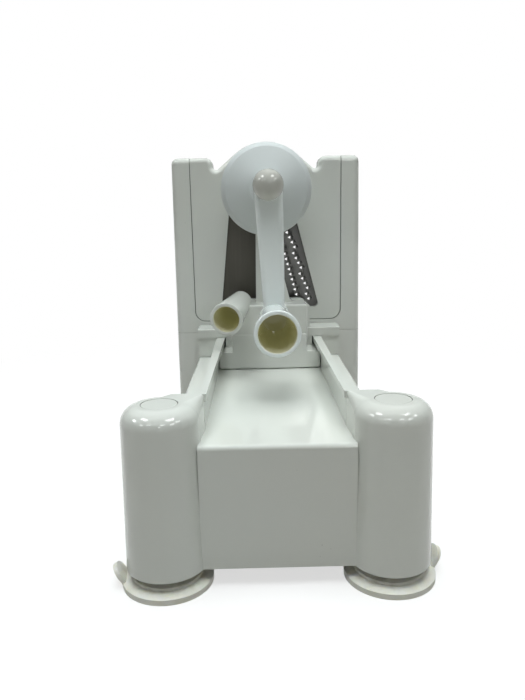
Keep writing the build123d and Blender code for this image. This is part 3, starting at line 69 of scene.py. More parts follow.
SIDES = (-1, 1)
HEAD_UP: Point = (0.0, 0.0, 0.0)
HEAD_DOWN: Point = (math.pi, 0.0, 0.0)
HEAD_BACK: Point = (-math.pi / 2, 0.0, 0.0)
HEAD_FRONT: Point = (math.pi / 2, 0.0, 0.0)


class Body(str, Enum):
    """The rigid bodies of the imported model."""

    BASE = "base"
    CARTRIDGE = "cartridge"
    CARRIAGE = "carriage"
    CRANK = "crank"


# ---------------- shader maths


class Field:
    """One number that may change over a surface, with arithmetic that adds Math nodes."""

    def __init__(self, bench: Bench, socket: NodeSocket) -> None:
        """Wrap an output socket.

        Args:
            bench: The material's node bench.
            socket: The output that carries the number.
        """
        self.bench = bench
        self.socket = socket

    def _math(self, operation: str, first: Number, second: Number) -> Field:
        """Return operation(first, second) as a new field."""
        node = self.bench.node("ShaderNodeMath", {"operation": operation}, {0: first, 1: second})
        return Field(self.bench, node.outputs[0])

    def __add__(self, other: Number) -> Field:
        """Return self + other."""
        return self._math("ADD", self, other)

    __radd__ = __add__

    def __sub__(self, other: Number) -> Field:
        """Return self - other."""
        return self._math("SUBTRACT", self, other)

    def __rsub__(self, other: Number) -> Field:
        """Return other - self."""
        return self._math("SUBTRACT", other, self)

    def __mul__(self, other: Number) -> Field:
        """Return self * other."""
        return self._math("MULTIPLY", self, other)

    __rmul__ = __mul__

    def __pow__(self, other: Number) -> Field:
        """Return self ** other."""
        return self._math("POWER", self, other)

    def __abs__(self) -> Field:
        """Return the absolute value."""
        return self._math("ABSOLUTE", self, 0.0)

    def least(self, other: Number) -> Field:
        """Return the smaller of self and other."""
        return self._math("MINIMUM", self, other)

    def most(self, other: Number) -> Field:
        """Return the larger of self and other."""
        return self._math("MAXIMUM", self, other)

    def step(self, low: float, high: float) -> Field:
        """Return a smooth step from 0 at low to 1 at high.

        Args:
            low: Value at which the result is 0.
            high: Value at which the result is 1; it may be below low.
        """
        node = self.bench.node(
            "ShaderNodeMapRange",
            {"interpolation_type": "SMOOTHSTEP"},
            {"Value": self, "From Min": low, "From Max": high},
        )
        return Field(self.bench, node.outputs[0])


Number = Field | float


def feed(tree: bpy.types.NodeTree, socket: NodeSocket, value: object) -> None:
    """Link a field or an output to an input, or set the input to a plain value."""
    value = value.socket if isinstance(value, Field) else value
    if isinstance(value, NodeSocket):
        tree.links.new(value, socket)
    else:
        socket.default_value = value


class Bench:
    """The node tree of a material or of the world, and the one method that adds nodes to it."""

    def __init__(self, name: str, world: bpy.types.World | None = None) -> None:
        """Empty the tree of a new material, or of the world.

        Args:
            name: The new material's name.
            world: The world, where the tree isn't a material's.
        """
        self.owner = world or bpy.data.materials.new(name)
        self.owner.use_nodes = True
        self.tree = self.owner.node_tree
        self.tree.nodes.clear()

    def node(self, kind: str, settings: dict | None = None, sockets: dict | None = None) -> Node:
        """Add one node.

        Args:
            kind: Blender's name for the node's type.
            settings: Attributes that are set first, or a list of stops under "stops".
            sockets: Values or links by the socket's name or index.

        Returns:
            The new node.
        """
        made = self.tree.nodes.new(kind)
        for key, value in (settings or {}).items():
            if key == "stops":
                self._stops(made.color_ramp.elements, value)
            else:
                setattr(made, key, value)
        for key, value in (sockets or {}).items():
            feed(self.tree, made.inputs[key], value)
        return made

    @staticmethod
    def _stops(elements: bpy.types.ColorRampElements, stops: list[tuple[float, Colour]]) -> None:
        """Set a ramp's stops in order."""
        while len(elements) < len(stops):
            elements.new(1.0)
        for element, (place, colour) in zip(elements, stops):
            element.position = place
            element.color = (*colour, 1.0)

    def place(self, kind: str = "Object") -> tuple[Field, Field, Field]:
        """Return the object coordinates in metres, or the world's directions, as three fields.

        Args:
            kind: "Object" on a piece and "Generated" in the world.
        """
        coordinates = self.node("ShaderNodeTexCoord")
        split = self.node("ShaderNodeSeparateXYZ", None, {0: coordinates.outputs[kind]})
        return tuple(Field(self, output) for output in split.outputs)

    def stretched(self, scale: Point) -> NodeSocket:
        """Return object coordinates multiplied by a scale for each axis."""
        coordinates = self.node("ShaderNodeTexCoord")
        mapping = self.node(
            "ShaderNodeMapping", None, {"Vector": coordinates.outputs["Object"], "Scale": scale}
        )
        return mapping.outputs[0]

    def noise(self, scale: float, detail: float = 2.0, vector: NodeSocket | None = None) -> Field:
        """Return a noise field.

        Args:
            scale: Cells for each metre.
            detail: Octaves of finer noise.
            vector: Coordinates, or None for plain object coordinates.
        """
        if vector is None:
            vector = self.node("ShaderNodeTexCoord").outputs["Object"]
        made = self.node(
            "ShaderNodeTexNoise", None, {"Vector": vector, "Scale": scale, "Detail": detail}
        )
        return Field(self, made.outputs[0])

    def vector(self, operation: str, sockets: dict) -> bpy.types.NodeOutputs:
        """Return the outputs of one Vector Math node."""
        return self.node("ShaderNodeVectorMath", {"operation": operation}, sockets).outputs

    def rays(self) -> tuple[Field, Field, Field]:
        """Return 1 for rays from the camera, for rays in gloss and for rays through glass."""
        paths = self.node("ShaderNodeLightPath").outputs
        kinds = ("Is Camera Ray", "Is Glossy Ray", "Is Transmission Ray")
        return tuple(Field(self, paths[kind]) for kind in kinds)

    def specks(self, scale: float, radius: float) -> Field:
        """Return 1 inside small scattered dots and 0 elsewhere.

        Args:
            scale: Cells for each metre.
            radius: A dot's radius as a share of a cell.
        """
        vector = self.node("ShaderNodeTexCoord").outputs["Object"]
        made = self.node("ShaderNodeTexVoronoi", None, {"Vector": vector, "Scale": scale})
        return Field(self, made.outputs["Distance"]).step(radius, 0.6 * radius)

    def mix(self, share: Number, first: Tint, second: Tint) -> NodeSocket:
        """Return a colour that goes from first at share 0 to second at share 1."""
        made = self.node(
            "ShaderNodeMix", {"data_type": "RGBA"}, {0: share, 6: wide(first), 7: wide(second)}
        )
        return made.outputs[2]

    def bump(self, height: Field, strength: float, distance: float) -> NodeSocket:
        """Return a normal that is bent by a height field."""
        made = self.node(
            "ShaderNodeBump", None, {"Strength": strength, "Distance": distance, "Height": height}
        )
        return made.outputs[0]

    def finish(self, sockets: dict) -> Material:
        """Close the tree with a Principled shader.

        Args:
            sockets: Values or links of the shader's inputs by name.

        Returns:
            The finished material.
        """
        shader = self.node("ShaderNodeBsdfPrincipled", None, sockets)
        self.node("ShaderNodeOutputMaterial", None, {"Surface": shader.outputs[0]})
        return self.owner


Tint = Colour | NodeSocket


def wide(tint: Tint) -> tuple[float, float, float, float] | NodeSocket:
    """Return a plain colour with alpha, or the socket as it is."""
    return (*tint, 1.0) if isinstance(tint, tuple) else tint


# ---------------- finishes


@dataclass(frozen=True)
class TubeBore:
    """The inside of an open tube handle, coloured olive and darkening with depth as painted shade,
    with a faint painted glow.
    """

    mouth: Point
    floor: Point
    mouth_radius: float
    floor_radius: float
    outside: float = 0.9 * MM
    wall: float = 0.3 * MM

    def mask(self, bench: Bench) -> tuple[Field, Field]:
        """Return a mask of the bore's wall and the depth from mouth to floor."""
        mouth, floor = Vector(self.mouth), Vector(self.floor)
        line = floor - mouth
        coordinates = bench.node("ShaderNodeTexCoord").outputs["Object"]
        offset = bench.vector("SUBTRACT", {0: coordinates, 1: mouth})["Vector"]
        share = bench.vector("DOT_PRODUCT", {0: offset, 1: line / line.length_squared})
        depth = Field(bench, share["Value"])
        on_line = bench.vector("SCALE", {0: line, "Scale": depth.most(0.0).least(1.0)})["Vector"]
        apart = Field(bench, bench.vector("DISTANCE", {0: offset, 1: on_line})["Value"])
        radius = self.mouth_radius + depth * (self.floor_radius - self.mouth_radius)
        inside = (apart - radius).step(self.outside, self.wall)
        return inside * depth.step(-0.004, 0.02), depth


@dataclass(frozen=True)
class RoundSeam:
    """The thin line of dust in the round seam of a tower's plug."""

    centre: tuple[float, float]
    radius: float = 9.33 * MM
    reach: float = 0.36 * MM
    foot: float = 94.0 * MM

    def mask(self, bench: Bench) -> Field:
        """Return 1 on the line and 0 elsewhere."""
        x, y, z = bench.place()
        aside, ahead = x - self.centre[0], y - self.centre[1]
        ring = abs((aside * aside + ahead * ahead) ** 0.5 - self.radius)
        ring = ring.step(self.reach, 0.3 * self.reach)
        return ring * z.step(self.foot, self.foot + MM)


@dataclass(frozen=True)
class WhitePlastic:
    """Glossy moulded plastic with faint moulding waves, handling marks and dust, and painted shade
    and a painted glow inside tube bores.
    """

    name: str
    colour: Colour = (0.74, 0.765, 0.725)
    warm: Colour = (0.72, 0.72, 0.665)
    roughness: float = 0.04
    gloss: float = 0.5
    bores: tuple[TubeBore, ...] = ()
    seams: tuple[RoundSeam, ...] = ()
    # Inside tube bores: the colour at the mouth, a darker painted-shade colour deep inside, and a
    # faint painted glow.
    bore_light: Colour = (0.55, 0.53, 0.40)
    bore_painted_shade: Colour = (0.28, 0.265, 0.13)
    bore_painted_glow: Colour = (0.058, 0.056, 0.022)

    def build(self) -> Material:
        """Return the material."""
        bench = Bench(self.name)
        drift = bench.noise(9.0, 2.0).step(0.3, 0.75)
        fine = bench.noise(900.0, 1.0)
        scuffs = bench.noise(60.0, 4.0, bench.stretched((1.0, 6.0, 1.0))).step(0.62, 0.8)
        dust = bench.specks(130.0, 0.055) * bench.noise(25.0).step(0.5, 0.7)
        colour = bench.mix(drift * 0.55, self.colour, self.warm)
        colour = bench.mix(dust * 0.5, colour, (0.30, 0.29, 0.25))
        for seam in self.seams:
            colour = bench.mix(seam.mask(bench) * 0.6, colour, (0.33, 0.33, 0.30))
        for bore in self.bores:
            mask, depth = bore.mask(bench)
            # Painted shade: the bore's colour darkens from the mouth towards its floor.
            painted_bore_shade = bench.mix(depth.step(0.0, 0.75), self.bore_light, self.bore_painted_shade)
            colour = bench.mix(mask, colour, painted_bore_shade)
            # Painted glow: a faint emission inside the bore stands in for light reaching it.
            glow = bench.mix(mask, BLACK, self.bore_painted_glow)
        roughness = self.roughness + 0.03 * drift + 0.12 * scuffs + 0.1 * dust
        height = fine * 0.05 + bench.noise(35.0, 1.0)
        sockets = {
            "Base Color": colour,
            "Roughness": roughness,
            "Normal": bench.bump(height, 0.10, 0.0010),
            "Specular IOR Level": self.gloss,
            "IOR": 1.5,
        }
        # The bores' painted glow is emitted here.
        if self.bores:
            sockets.update({"Emission Color": glow, "Emission Strength": 1.0})
        return bench.finish(sockets)


@dataclass(frozen=True)
class SoftCup:
    """Soft milky plastic, a little see-through, with grime on its steps."""

    name: str = "milky_cup"
    colour: Colour = (0.93, 0.92, 0.84)
    grime: Colour = (0.60, 0.58, 0.48)

    def build(self) -> Material:
        """Return the material."""
        bench = Bench(self.name)
        height = bench.place()[2]
        mottle = bench.noise(120.0, 5.0).step(0.42, 0.68)
        steps = height.step(0.0032, 0.0048) * height.step(0.0125, 0.008)
        veins = bench.noise(45.0, 3.0)
        colour = bench.mix(mottle * (0.14 + 0.42 * steps), self.colour, self.grime)
        return bench.finish(
            {
                "Base Color": colour,
                "Roughness": 0.36 + 0.2 * mottle,
                "Normal": bench.bump(veins + 0.4 * bench.noise(600.0), 0.25, 0.0012),
                "Subsurface Weight": 0.25,
                "Subsurface Radius": (0.004, 0.0035, 0.002),
                "IOR": 1.45,
            }
        )


@dataclass(frozen=True)
class SheetSteel:
    """Rolled stainless sheet with grinding lines along one way."""

    name: str
    colour: Colour
    grain: Point
    roughness: float = 0.34

    def build(self) -> Material:
        """Return the material."""
        bench = Bench(self.name)
        lines = bench.noise(300.0, 3.0, bench.stretched(self.grain))
        cloud = bench.noise(30.0, 2.0).step(0.3, 0.7)
        dark = tuple(0.78 * part for part in self.colour)
        colour = bench.mix(lines.step(0.3, 0.7) * 0.3 + 0.4 * cloud, self.colour, dark)
        return bench.finish(
            {
                "Base Color": colour,
                "Metallic": 1.0,
                "Roughness": self.roughness + 0.12 * lines,
                "Normal": bench.bump(lines, 0.1, 0.0002),
            }
        )


@dataclass(frozen=True)
class CloudyFinish:
    """Plain metal or plastic with soft clouds in its colour and its roughness."""

    name: str
    colour: Colour
    clouds: Colour
    scale: float
    share: float
    roughness: float
    spread: float
    metallic: float = 0.0

    def build(self) -> Material:
        """Return the material."""
        bench = Bench(self.name)
        cloud = bench.noise(self.scale, 3.0)
        sockets = {
            "Base Color": bench.mix(cloud.step(0.4, 0.7) * self.share, self.colour, self.clouds),
            "Metallic": self.metallic,
            "Roughness": self.roughness + self.spread * cloud,
        }
        return bench.finish(sockets)


# ---------------- meshes


def paint(piece: Object, material: Material) -> None:
    """Give a piece one material in all its slots."""
    piece.data.materials.clear()
    piece.data.materials.append(material)


def shaded(mesh: Mesh) -> None:
    """Shade a mesh smoothly, with its sharp edges kept."""
    mesh.shade_smooth()
    mesh.set_sharp_from_angle(angle=SHARP_ANGLE)


def kept(name: str, form: BMesh) -> Mesh:
    """Return a form as a new mesh and free the form."""
    mesh = bpy.data.meshes.new(name)
    form.to_mesh(mesh)
    form.free()
    return mesh


def kept_from_mm(name: str, form: BMesh) -> Mesh:
    """Return a form in mm as a new mesh in metres, with its faces turned outwards."""
    bmesh.ops.recalc_face_normals(form, faces=form.faces)
    bmesh.ops.scale(form, vec=(MM, MM, MM), verts=form.verts)
    return kept(name, form)


def linked(name: str, mesh: Mesh) -> Object:
    """Return a new object in the scene that shows a mesh."""
    piece = bpy.data.objects.new(name, mesh)
    bpy.context.scene.collection.objects.link(piece)
    return piece


def stand_for(piece: Object, node: str, body: Body) -> None:
    """Let a new piece stand for a CAD node.

    Args:
        piece: The new piece.
        node: The node that it replaces.
        body: The rigid body that it rides on.
    """
    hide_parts(node)
    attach(piece, body.value)
    LOG.info("%s rides on %s", piece.name, body.value)


def rounded(corners: list[Point], steps: int = 5) -> list[tuple[float, float]]:
    """Round the corners of a turning profile that closes on itself.

    Args:
        corners: Height along the axis, radius and rounding of each corner.
        steps: Segments in each rounding.

    Returns:
        Height and radius of each point of the finished profile.
    """
    points = []
    for index, (along, radius, rounding) in enumerate(corners):
        here = Vector((along, radius))
        if rounding == 0.0:
            points.append((along, radius))
            continue
        before = (Vector(corners[index - 1][:2]) - here).normalized()
        after = (Vector(corners[(index + 1) % len(corners)][:2]) - here).normalized()
        half = before.angle(after) / 2
        centre = here + (before + after).normalized() * rounding / math.sin(half)
        first = here + before * rounding / math.tan(half) - centre
        last = here + after * rounding / math.tan(half) - centre
        for step in range(steps + 1):
            points.append(tuple(centre + first.slerp(last, step / steps)))
    return points


def turn_profile(
    form: BMesh, profile: list[tuple[float, float]], segments: int, closed: bool
) -> list[list[bmesh.types.BMVert]]:
    """Spin a profile about the local z axis.

    Args:
        form: The mesh that receives the surface.
        profile: Height and radius of each point.
        segments: Steps around the axis.
        closed: Whether the last point joins the first.

    Returns:
        The ring of vertices of each point.
    """
    rings = []
    for along, radius in profile:
        if radius < 1e-9:
            rings.append([form.verts.new((0.0, 0.0, along))])
            continue
        ring = []
        for step in range(segments):
            angle = math.tau * step / segments
            ring.append(form.verts.new((radius * math.cos(angle), radius * math.sin(angle), along)))
        rings.append(ring)
    pairs = list(zip(rings, rings[1:])) + ([(rings[-1], rings[0])] if closed else [])
    for low, high in pairs:
        for step in range(segments):
            after = (step + 1) % segments
            corners = [low[step % len(low)], low[after % len(low)]]
            corners += [high[after % len(high)], high[step % len(high)]]
            face = list(dict.fromkeys(corners))
            if len(face) > 2:
                form.faces.new(face)
    return rings


@dataclass
class Turned:
    """A piece spun about an axis parallel to Y, with clean shading all round.

    A shape is a rounded profile with a centre across the axis; several shapes make one piece.
    """

    node: str
    body: Body
    shapes: list[tuple[list[Point], tuple[float, float]]]
    segments: int = 160

    def mesh(self) -> Mesh:
        """Return all the shapes as one mesh in metres."""
        form = bmesh.new()
        for corners, (x, z) in self.shapes:
            known = set(form.verts)
            turn_profile(form, rounded(corners), self.segments, closed=True)
            fresh = [vertex for vertex in form.verts if vertex not in known]
            lay_down = Matrix.Rotation(math.radians(-90), 4, "X")
            place = Matrix.Translation((x, 0.0, z))
            bmesh.ops.transform(form, matrix=place @ lay_down, verts=fresh)
        bmesh.ops.remove_doubles(form, verts=form.verts, dist=0.0005)
        mesh = kept_from_mm(self.node + "_turned", form)
        shaded(mesh)
        return mesh

    def build(self, material: Material, slot: str) -> None:
        """Make the piece stand for its node.

        Args:
            material: The finish.
            slot: Not used.
        """
        piece = linked(self.node + "_turned", self.mesh())
        paint(piece, material)
        stand_for(piece, self.node, self.body)


@dataclass
class Moulding:
    """A moulded piece made from the frame's own node, with soft edges instead of sharp ones."""

    node: str
    body: Body
    edge: float = 0.35 * MM

    def build(self, material: Material, slot: str) -> None:
        """Copy, merge, round and dress the node, and let the copy stand for it.

        Args:
            material: The finish.
            slot: Not used.
        """
        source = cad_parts[self.node]
        mesh = source.data.copy()
        mesh.name = self.node + "_moulded"
        form = bmesh.new()
        form.from_mesh(mesh)
        bmesh.ops.remove_doubles(form, verts=form.verts, dist=WELD)
        bmesh.ops.dissolve_limit(form, angle_limit=FLAT_ANGLE, verts=form.verts, edges=form.edges)
        for face in form.faces:
            face.smooth = True
        for edge in form.edges:
            edge.smooth = len(edge.link_faces) == 2 and edge.calc_face_angle(0.0) < SHARP_ANGLE
        form.to_mesh(mesh)
        form.free()
        for name in ("custom_normal", "sharp_face"):
            if name in mesh.attributes:
                mesh.attributes.remove(mesh.attributes[name])
        piece = linked(self.node + "_moulded", mesh)
        bevel = piece.modifiers.new("soft edges", "BEVEL")
        bevel.width = self.edge
        bevel.segments = 2
        bevel.limit_method = "ANGLE"
        bevel.angle_limit = SHARP_ANGLE
        weighted = piece.modifiers.new("even shading", "WEIGHTED_NORMAL")
        weighted.keep_sharp = True
        weighted.mode = "FACE_AREA_WITH_ANGLE"
        paint(piece, material)
        stand_for(piece, self.node, self.body)


# ---------------- repeated small parts


class Repeat:
    """A Geometry Nodes group that sets one unit on many places and spins each on its axis."""

    INPUTS = (
        ("Places", "NodeSocketGeometry"),
        ("Unit", "NodeSocketObject"),
        ("Turn", "NodeSocketVector"),
        ("Spin", "NodeSocketFloat"),
        ("Seed", "NodeSocketInt"),
        ("Finish", "NodeSocketMaterial"),
    )

    def __init__(self) -> None:
        """Build the node group once."""
        self.group = bpy.data.node_groups.new("repeat_on_places", "GeometryNodeTree")
        face = self.group.interface
        self.sockets = {
            name: face.new_socket(name=name, in_out="INPUT", socket_type=kind).identifier
            for name, kind in self.INPUTS
        }
        face.new_socket(name="Geometry", in_out="OUTPUT", socket_type="NodeSocketGeometry")
        source = self._node("NodeGroupInput")
        unit = self._node("GeometryNodeObjectInfo", {"Object": source.outputs["Unit"]})
        spread = {0: 0.0, 1: source.outputs["Spin"]}
        least = self._node("ShaderNodeMath", spread, operation="SUBTRACT")
        limits = {2: least.outputs[0], 3: source.outputs["Spin"], "Seed": source.outputs["Seed"]}
        chance = self._node("FunctionNodeRandomValue", limits, data_type="FLOAT")
        spin = self._node("ShaderNodeCombineXYZ", {"Z": chance.outputs[1]})
        placed = self._node(
            "GeometryNodeInstanceOnPoints",
            {
                "Points": source.outputs["Places"],
                "Instance": unit.outputs["Geometry"],
                "Rotation": source.outputs["Turn"],
            },
        )
        spun = self._node(
            "GeometryNodeRotateInstances",
            {"Instances": placed.outputs[0], "Rotation": spin.outputs[0], "Local Space": True},
        )
        real = self._node("GeometryNodeRealizeInstances", {"Geometry": spun.outputs[0]})
        done = self._node(
            "GeometryNodeSetMaterial",
            {"Geometry": real.outputs[0], "Material": source.outputs["Finish"]},
        )
        self._node("NodeGroupOutput", {"Geometry": done.outputs[0]})

    def _node(self, kind: str, sockets: dict | None = None, **settings: str) -> Node:
        """Add one node with settings, then values or links by socket."""
        node = self.group.nodes.new(kind)
        for key, value in settings.items():
            setattr(node, key, value)
        for key, value in (sockets or {}).items():
            feed(self.group, node.inputs[key], value)
        return node

    def mesh(
        self,
        name: str,
        places: list[Point],
        unit: Mesh,
        turn: Point,
        spin: float,
        finish: Material,
    ) -> Mesh:
        """Run the group and keep the plain mesh.

        Args:
            name: Name of the result.
            places: Where the units stand, in metres.
            unit: One unit's mesh, which points along +Z.
            turn: Euler turn of every unit.
            spin: Largest random spin either way, in radians.
            finish: The units' material.

        Returns:
            A mesh with every unit in it.
        """
        points = bpy.data.meshes.new(name + "_places")
        points.from_pydata(places, [], [])
        host = linked(name + "_host", points)
        sample = linked(name + "_unit", unit)
        values = {"Unit": sample, "Turn": turn, "Spin": spin, "Seed": len(places), "Finish": finish}
        modifier = host.modifiers.new("repeat", "NODES")
        modifier.node_group = self.group
        for key, value in values.items():
            modifier[self.sockets[key]] = value
        graph = bpy.context.evaluated_depsgraph_get()
        mesh = bpy.data.meshes.new_from_object(host.evaluated_get(graph), depsgraph=graph)
        mesh.name = name
        host.modifiers.remove(modifier)
        for helper in (host, sample):
            bpy.data.objects.remove(helper)
        return mesh


@dataclass(frozen=True)
class ScrewSize:
    """A screw's sizes in mm: shank and head are radii, and length is what is below the head."""

    shank: float
    length: float
    head: float
    height: float


def screw_unit(name: str, size: ScrewSize) -> Mesh:
    """Make one screw along +Z with its head's seat at 0, the head above and a cross recess in it.

    Args:
        name: Mesh name.
        size: The screw's sizes.
    """
    form = bmesh.new()
    shank, length, head, height = size.shank, size.length, size.head, size.height
    rounding = 0.35 * height
    profile = [(-length, 0.0), (-length, 0.55 * shank)]
    turns = int(length / (0.55 * shank))
    for turn in range(turns):
        base = -length + 0.5 * shank + turn * (length - 0.6 * shank) / turns
        pitch = (length - 0.6 * shank) / turns
        profile += [(base, 0.84 * shank), (base + 0.5 * pitch, shank)]
    profile += [(0.0, 0.9 * shank), (0.0, head), (height - rounding, head)]
    for step in range(1, 5):
        angle = math.radians(90 * step / 4)
        rise, reach = rounding * math.sin(angle), rounding * math.cos(angle)
        profile.append((height - rounding + rise, head - rounding + reach))
    rings = turn_profile(form, profile, 48, closed=False)
    arm, slit, depth = 0.62 * head, 0.13 * head, 0.55 * height
    quarter = [(arm, -slit), (arm, slit), (slit, slit)]
    outline = []
    for step in range(4):
        cosine, sine = round(math.cos(math.tau * step / 4)), round(math.sin(math.tau * step / 4))
        outline += [(x * cosine - y * sine, x * sine + y * cosine) for x, y in quarter]
    top = [form.verts.new((x, y, height)) for x, y in outline]
    floor = [form.verts.new((0.8 * x, 0.8 * y, height - depth)) for x, y in outline]
    loop = []
    for index in range(len(top)):
        after = (index + 1) % len(top)
        form.faces.new((top[index], top[after], floor[after], floor[index]))
        loop.append(form.edges.get((top[index], top[after])))
    form.faces.new(floor)
    rim = rings[-1]
    loop += [form.edges.get((rim[index], rim[(index + 1) % len(rim)])) for index in range(len(rim))]
    bmesh.ops.triangle_fill(form, use_beauty=True, edges=loop)
    return kept_from_mm(name, form)


def closed_unit(name: str, rings: list[list[Point]]) -> Mesh:
    """Make one small closed form from rings of points, with a cap on its first and last ring.

    Args:
        name: Mesh name.
        rings: Rings of as many points each, in mm, from the foot up.
    """
    form = bmesh.new()
    loops = [[form.verts.new(point) for point in ring] for ring in rings]
    for low, high in zip(loops, loops[1:]):
        for index in range(len(low)):
            after = (index + 1) % len(low)
            form.faces.new((low[index], low[after], high[after], high[index]))
    form.faces.new(loops[0])
    form.faces.new(loops[-1])
    return kept_from_mm(name, form)


def joined(name: str, meshes: tuple[Mesh, ...]) -> Object:
    """Return a piece that shows several meshes as one, shaded."""
    form = bmesh.new()
    for mesh in meshes:
        form.from_mesh(mesh)
    whole = kept(name, form)
    shaded(whole)
    return linked(name, whole)


@dataclass(frozen=True)
class ScrewSet:
    """All the screws of one node."""

    node: str
    body: Body
    places: list[Point]
    turn: Point
    size: ScrewSize

    def build(self, repeat: Repeat, material: Material) -> None:
        """Make the screws stand for their node.

        Args:
            repeat: The shared Geometry Nodes group.
            material: The finish.
        """
        unit = screw_unit(self.node + "_unit", self.size)
        places = [tuple(MM * part for part in place) for place in self.places]
        mesh = repeat.mesh(self.node + "_set", places, unit, self.turn, math.pi, material)
        shaded(mesh)
        LOG.info("%s: %d screws", self.node, len(self.places))
        stand_for(linked(self.node + "_set", mesh), self.node, self.body)


# ---------------- sub-assemblies


@dataclass
class Finishes:
    """Every material that the pieces share."""

    plastic: Material = field(
        default_factory=WhitePlastic(
            "white_plastic",
            seams=tuple(RoundSeam((side * 58.6 * MM, -114.0 * MM)) for side in SIDES),
        ).build
    )
    shield: Material = field(
        default_factory=WhitePlastic(
            "satin_shield", (0.67, 0.71, 0.71), (0.64, 0.68, 0.67), roughness=0.4, gloss=0.2
        ).build
    )
    cap: Material = field(
        default_factory=WhitePlastic(
            "warm_cap", (0.54, 0.54, 0.495), (0.50, 0.495, 0.455), roughness=0.04
        ).build
    )
    cup: Material = field(default_factory=SoftCup().build)
    # Painted shade: the blade's and coring ring's steel is coloured near black, darker than the
    # toothed plate's steel.
    blade: Material = field(
        default_factory=SheetSteel(
            "blade_stainless_painted_shade", (0.085, 0.082, 0.07), grain=(1.0, 1.0, 0.04)
        ).build
    )
    teeth: Material = field(
        default_factory=SheetSteel(
            "grey_stainless", (0.125, 0.125, 0.12), grain=(0.05, 1.0, 1.0), roughness=0.3
        ).build
    )
    metal: Material = field(
        default_factory=CloudyFinish(
            "plated_steel", (0.60, 0.60, 0.58), (0.44, 0.43, 0.41), 250.0, 0.6, 0.24, 0.18, 1.0
        ).build
    )
    bush: Material = field(
        default_factory=CloudyFinish(
            "bearing_plastic", (0.72, 0.72, 0.68), (0.60, 0.59, 0.53), 180.0, 0.4, 0.42, 0.12
        ).build
    )


def dress(node: str, material: Material) -> None:
    """Give a CAD node that stays as it is its material."""
    paint(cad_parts[node], material)
    LOG.info("%s dressed", node)


@dataclass
class Base:
    """Base moulding, covers, plugs, cups and the blade housing."""

    mouldings: tuple[str, ...] = (
        "base_body",
        "blade_housing",
        "front_bottom_cover",
        "rear_bottom_cover",
    )
    plugs: tuple[str, ...] = ("tower_plug_left", "tower_plug_right")
    cups: tuple[str, ...] = (
        "suction_cup_front_left",
        "suction_cup_front_right",
        "suction_cup_rear_left",
        "suction_cup_rear_right",
    )
    screws: tuple[ScrewSet, ...] = (
        ScrewSet(
            "cover_screws",
            Body.BASE,
            [(side * 42.0, y, 12.4) for side in SIDES for y in (-82.0, 64.0)]
            + [(side * 30.0, y, 12.4) for side in SIDES for y in (84.0, 128.0)],
            HEAD_DOWN,
            ScrewSize(shank=1.6, length=10.0, head=3.2, height=1.6),
        ),
        ScrewSet(
            "cup_screws",
            Body.BASE,
            [(side * x, y, 17.2) for side in SIDES for x, y in ((58.6, -114.0), (50.0, 110.0))],
            HEAD_UP,
            ScrewSize(shank=3.0, length=12.8, head=5.2, height=3.0),
        ),
        ScrewSet(
            "housing_screws",
            Body.BASE,
            [(side * 65.0, y, 95.0) for side in SIDES for y in (84.0, 128.0)],
            HEAD_DOWN,
            ScrewSize(shank=2.0, length=14.0, head=4.0, height=2.4),
        ),
    )

    def build(self, finishes: Finishes, repeat: Repeat) -> None:
        """Make and dress the pieces."""
        for node in self.mouldings + self.plugs:
            slot = "cover_plastic" if "cover" in node else "white_plastic"
            Moulding(node, Body.BASE).build(finishes.plastic, slot)
        for node in self.cups:
            Moulding(node, Body.BASE, 0.5 * MM).build(finishes.cup, "cup_rubber")
        for screws in self.screws:
            screws.build(repeat, finishes.metal)
        dress("cup_washers", finishes.metal)


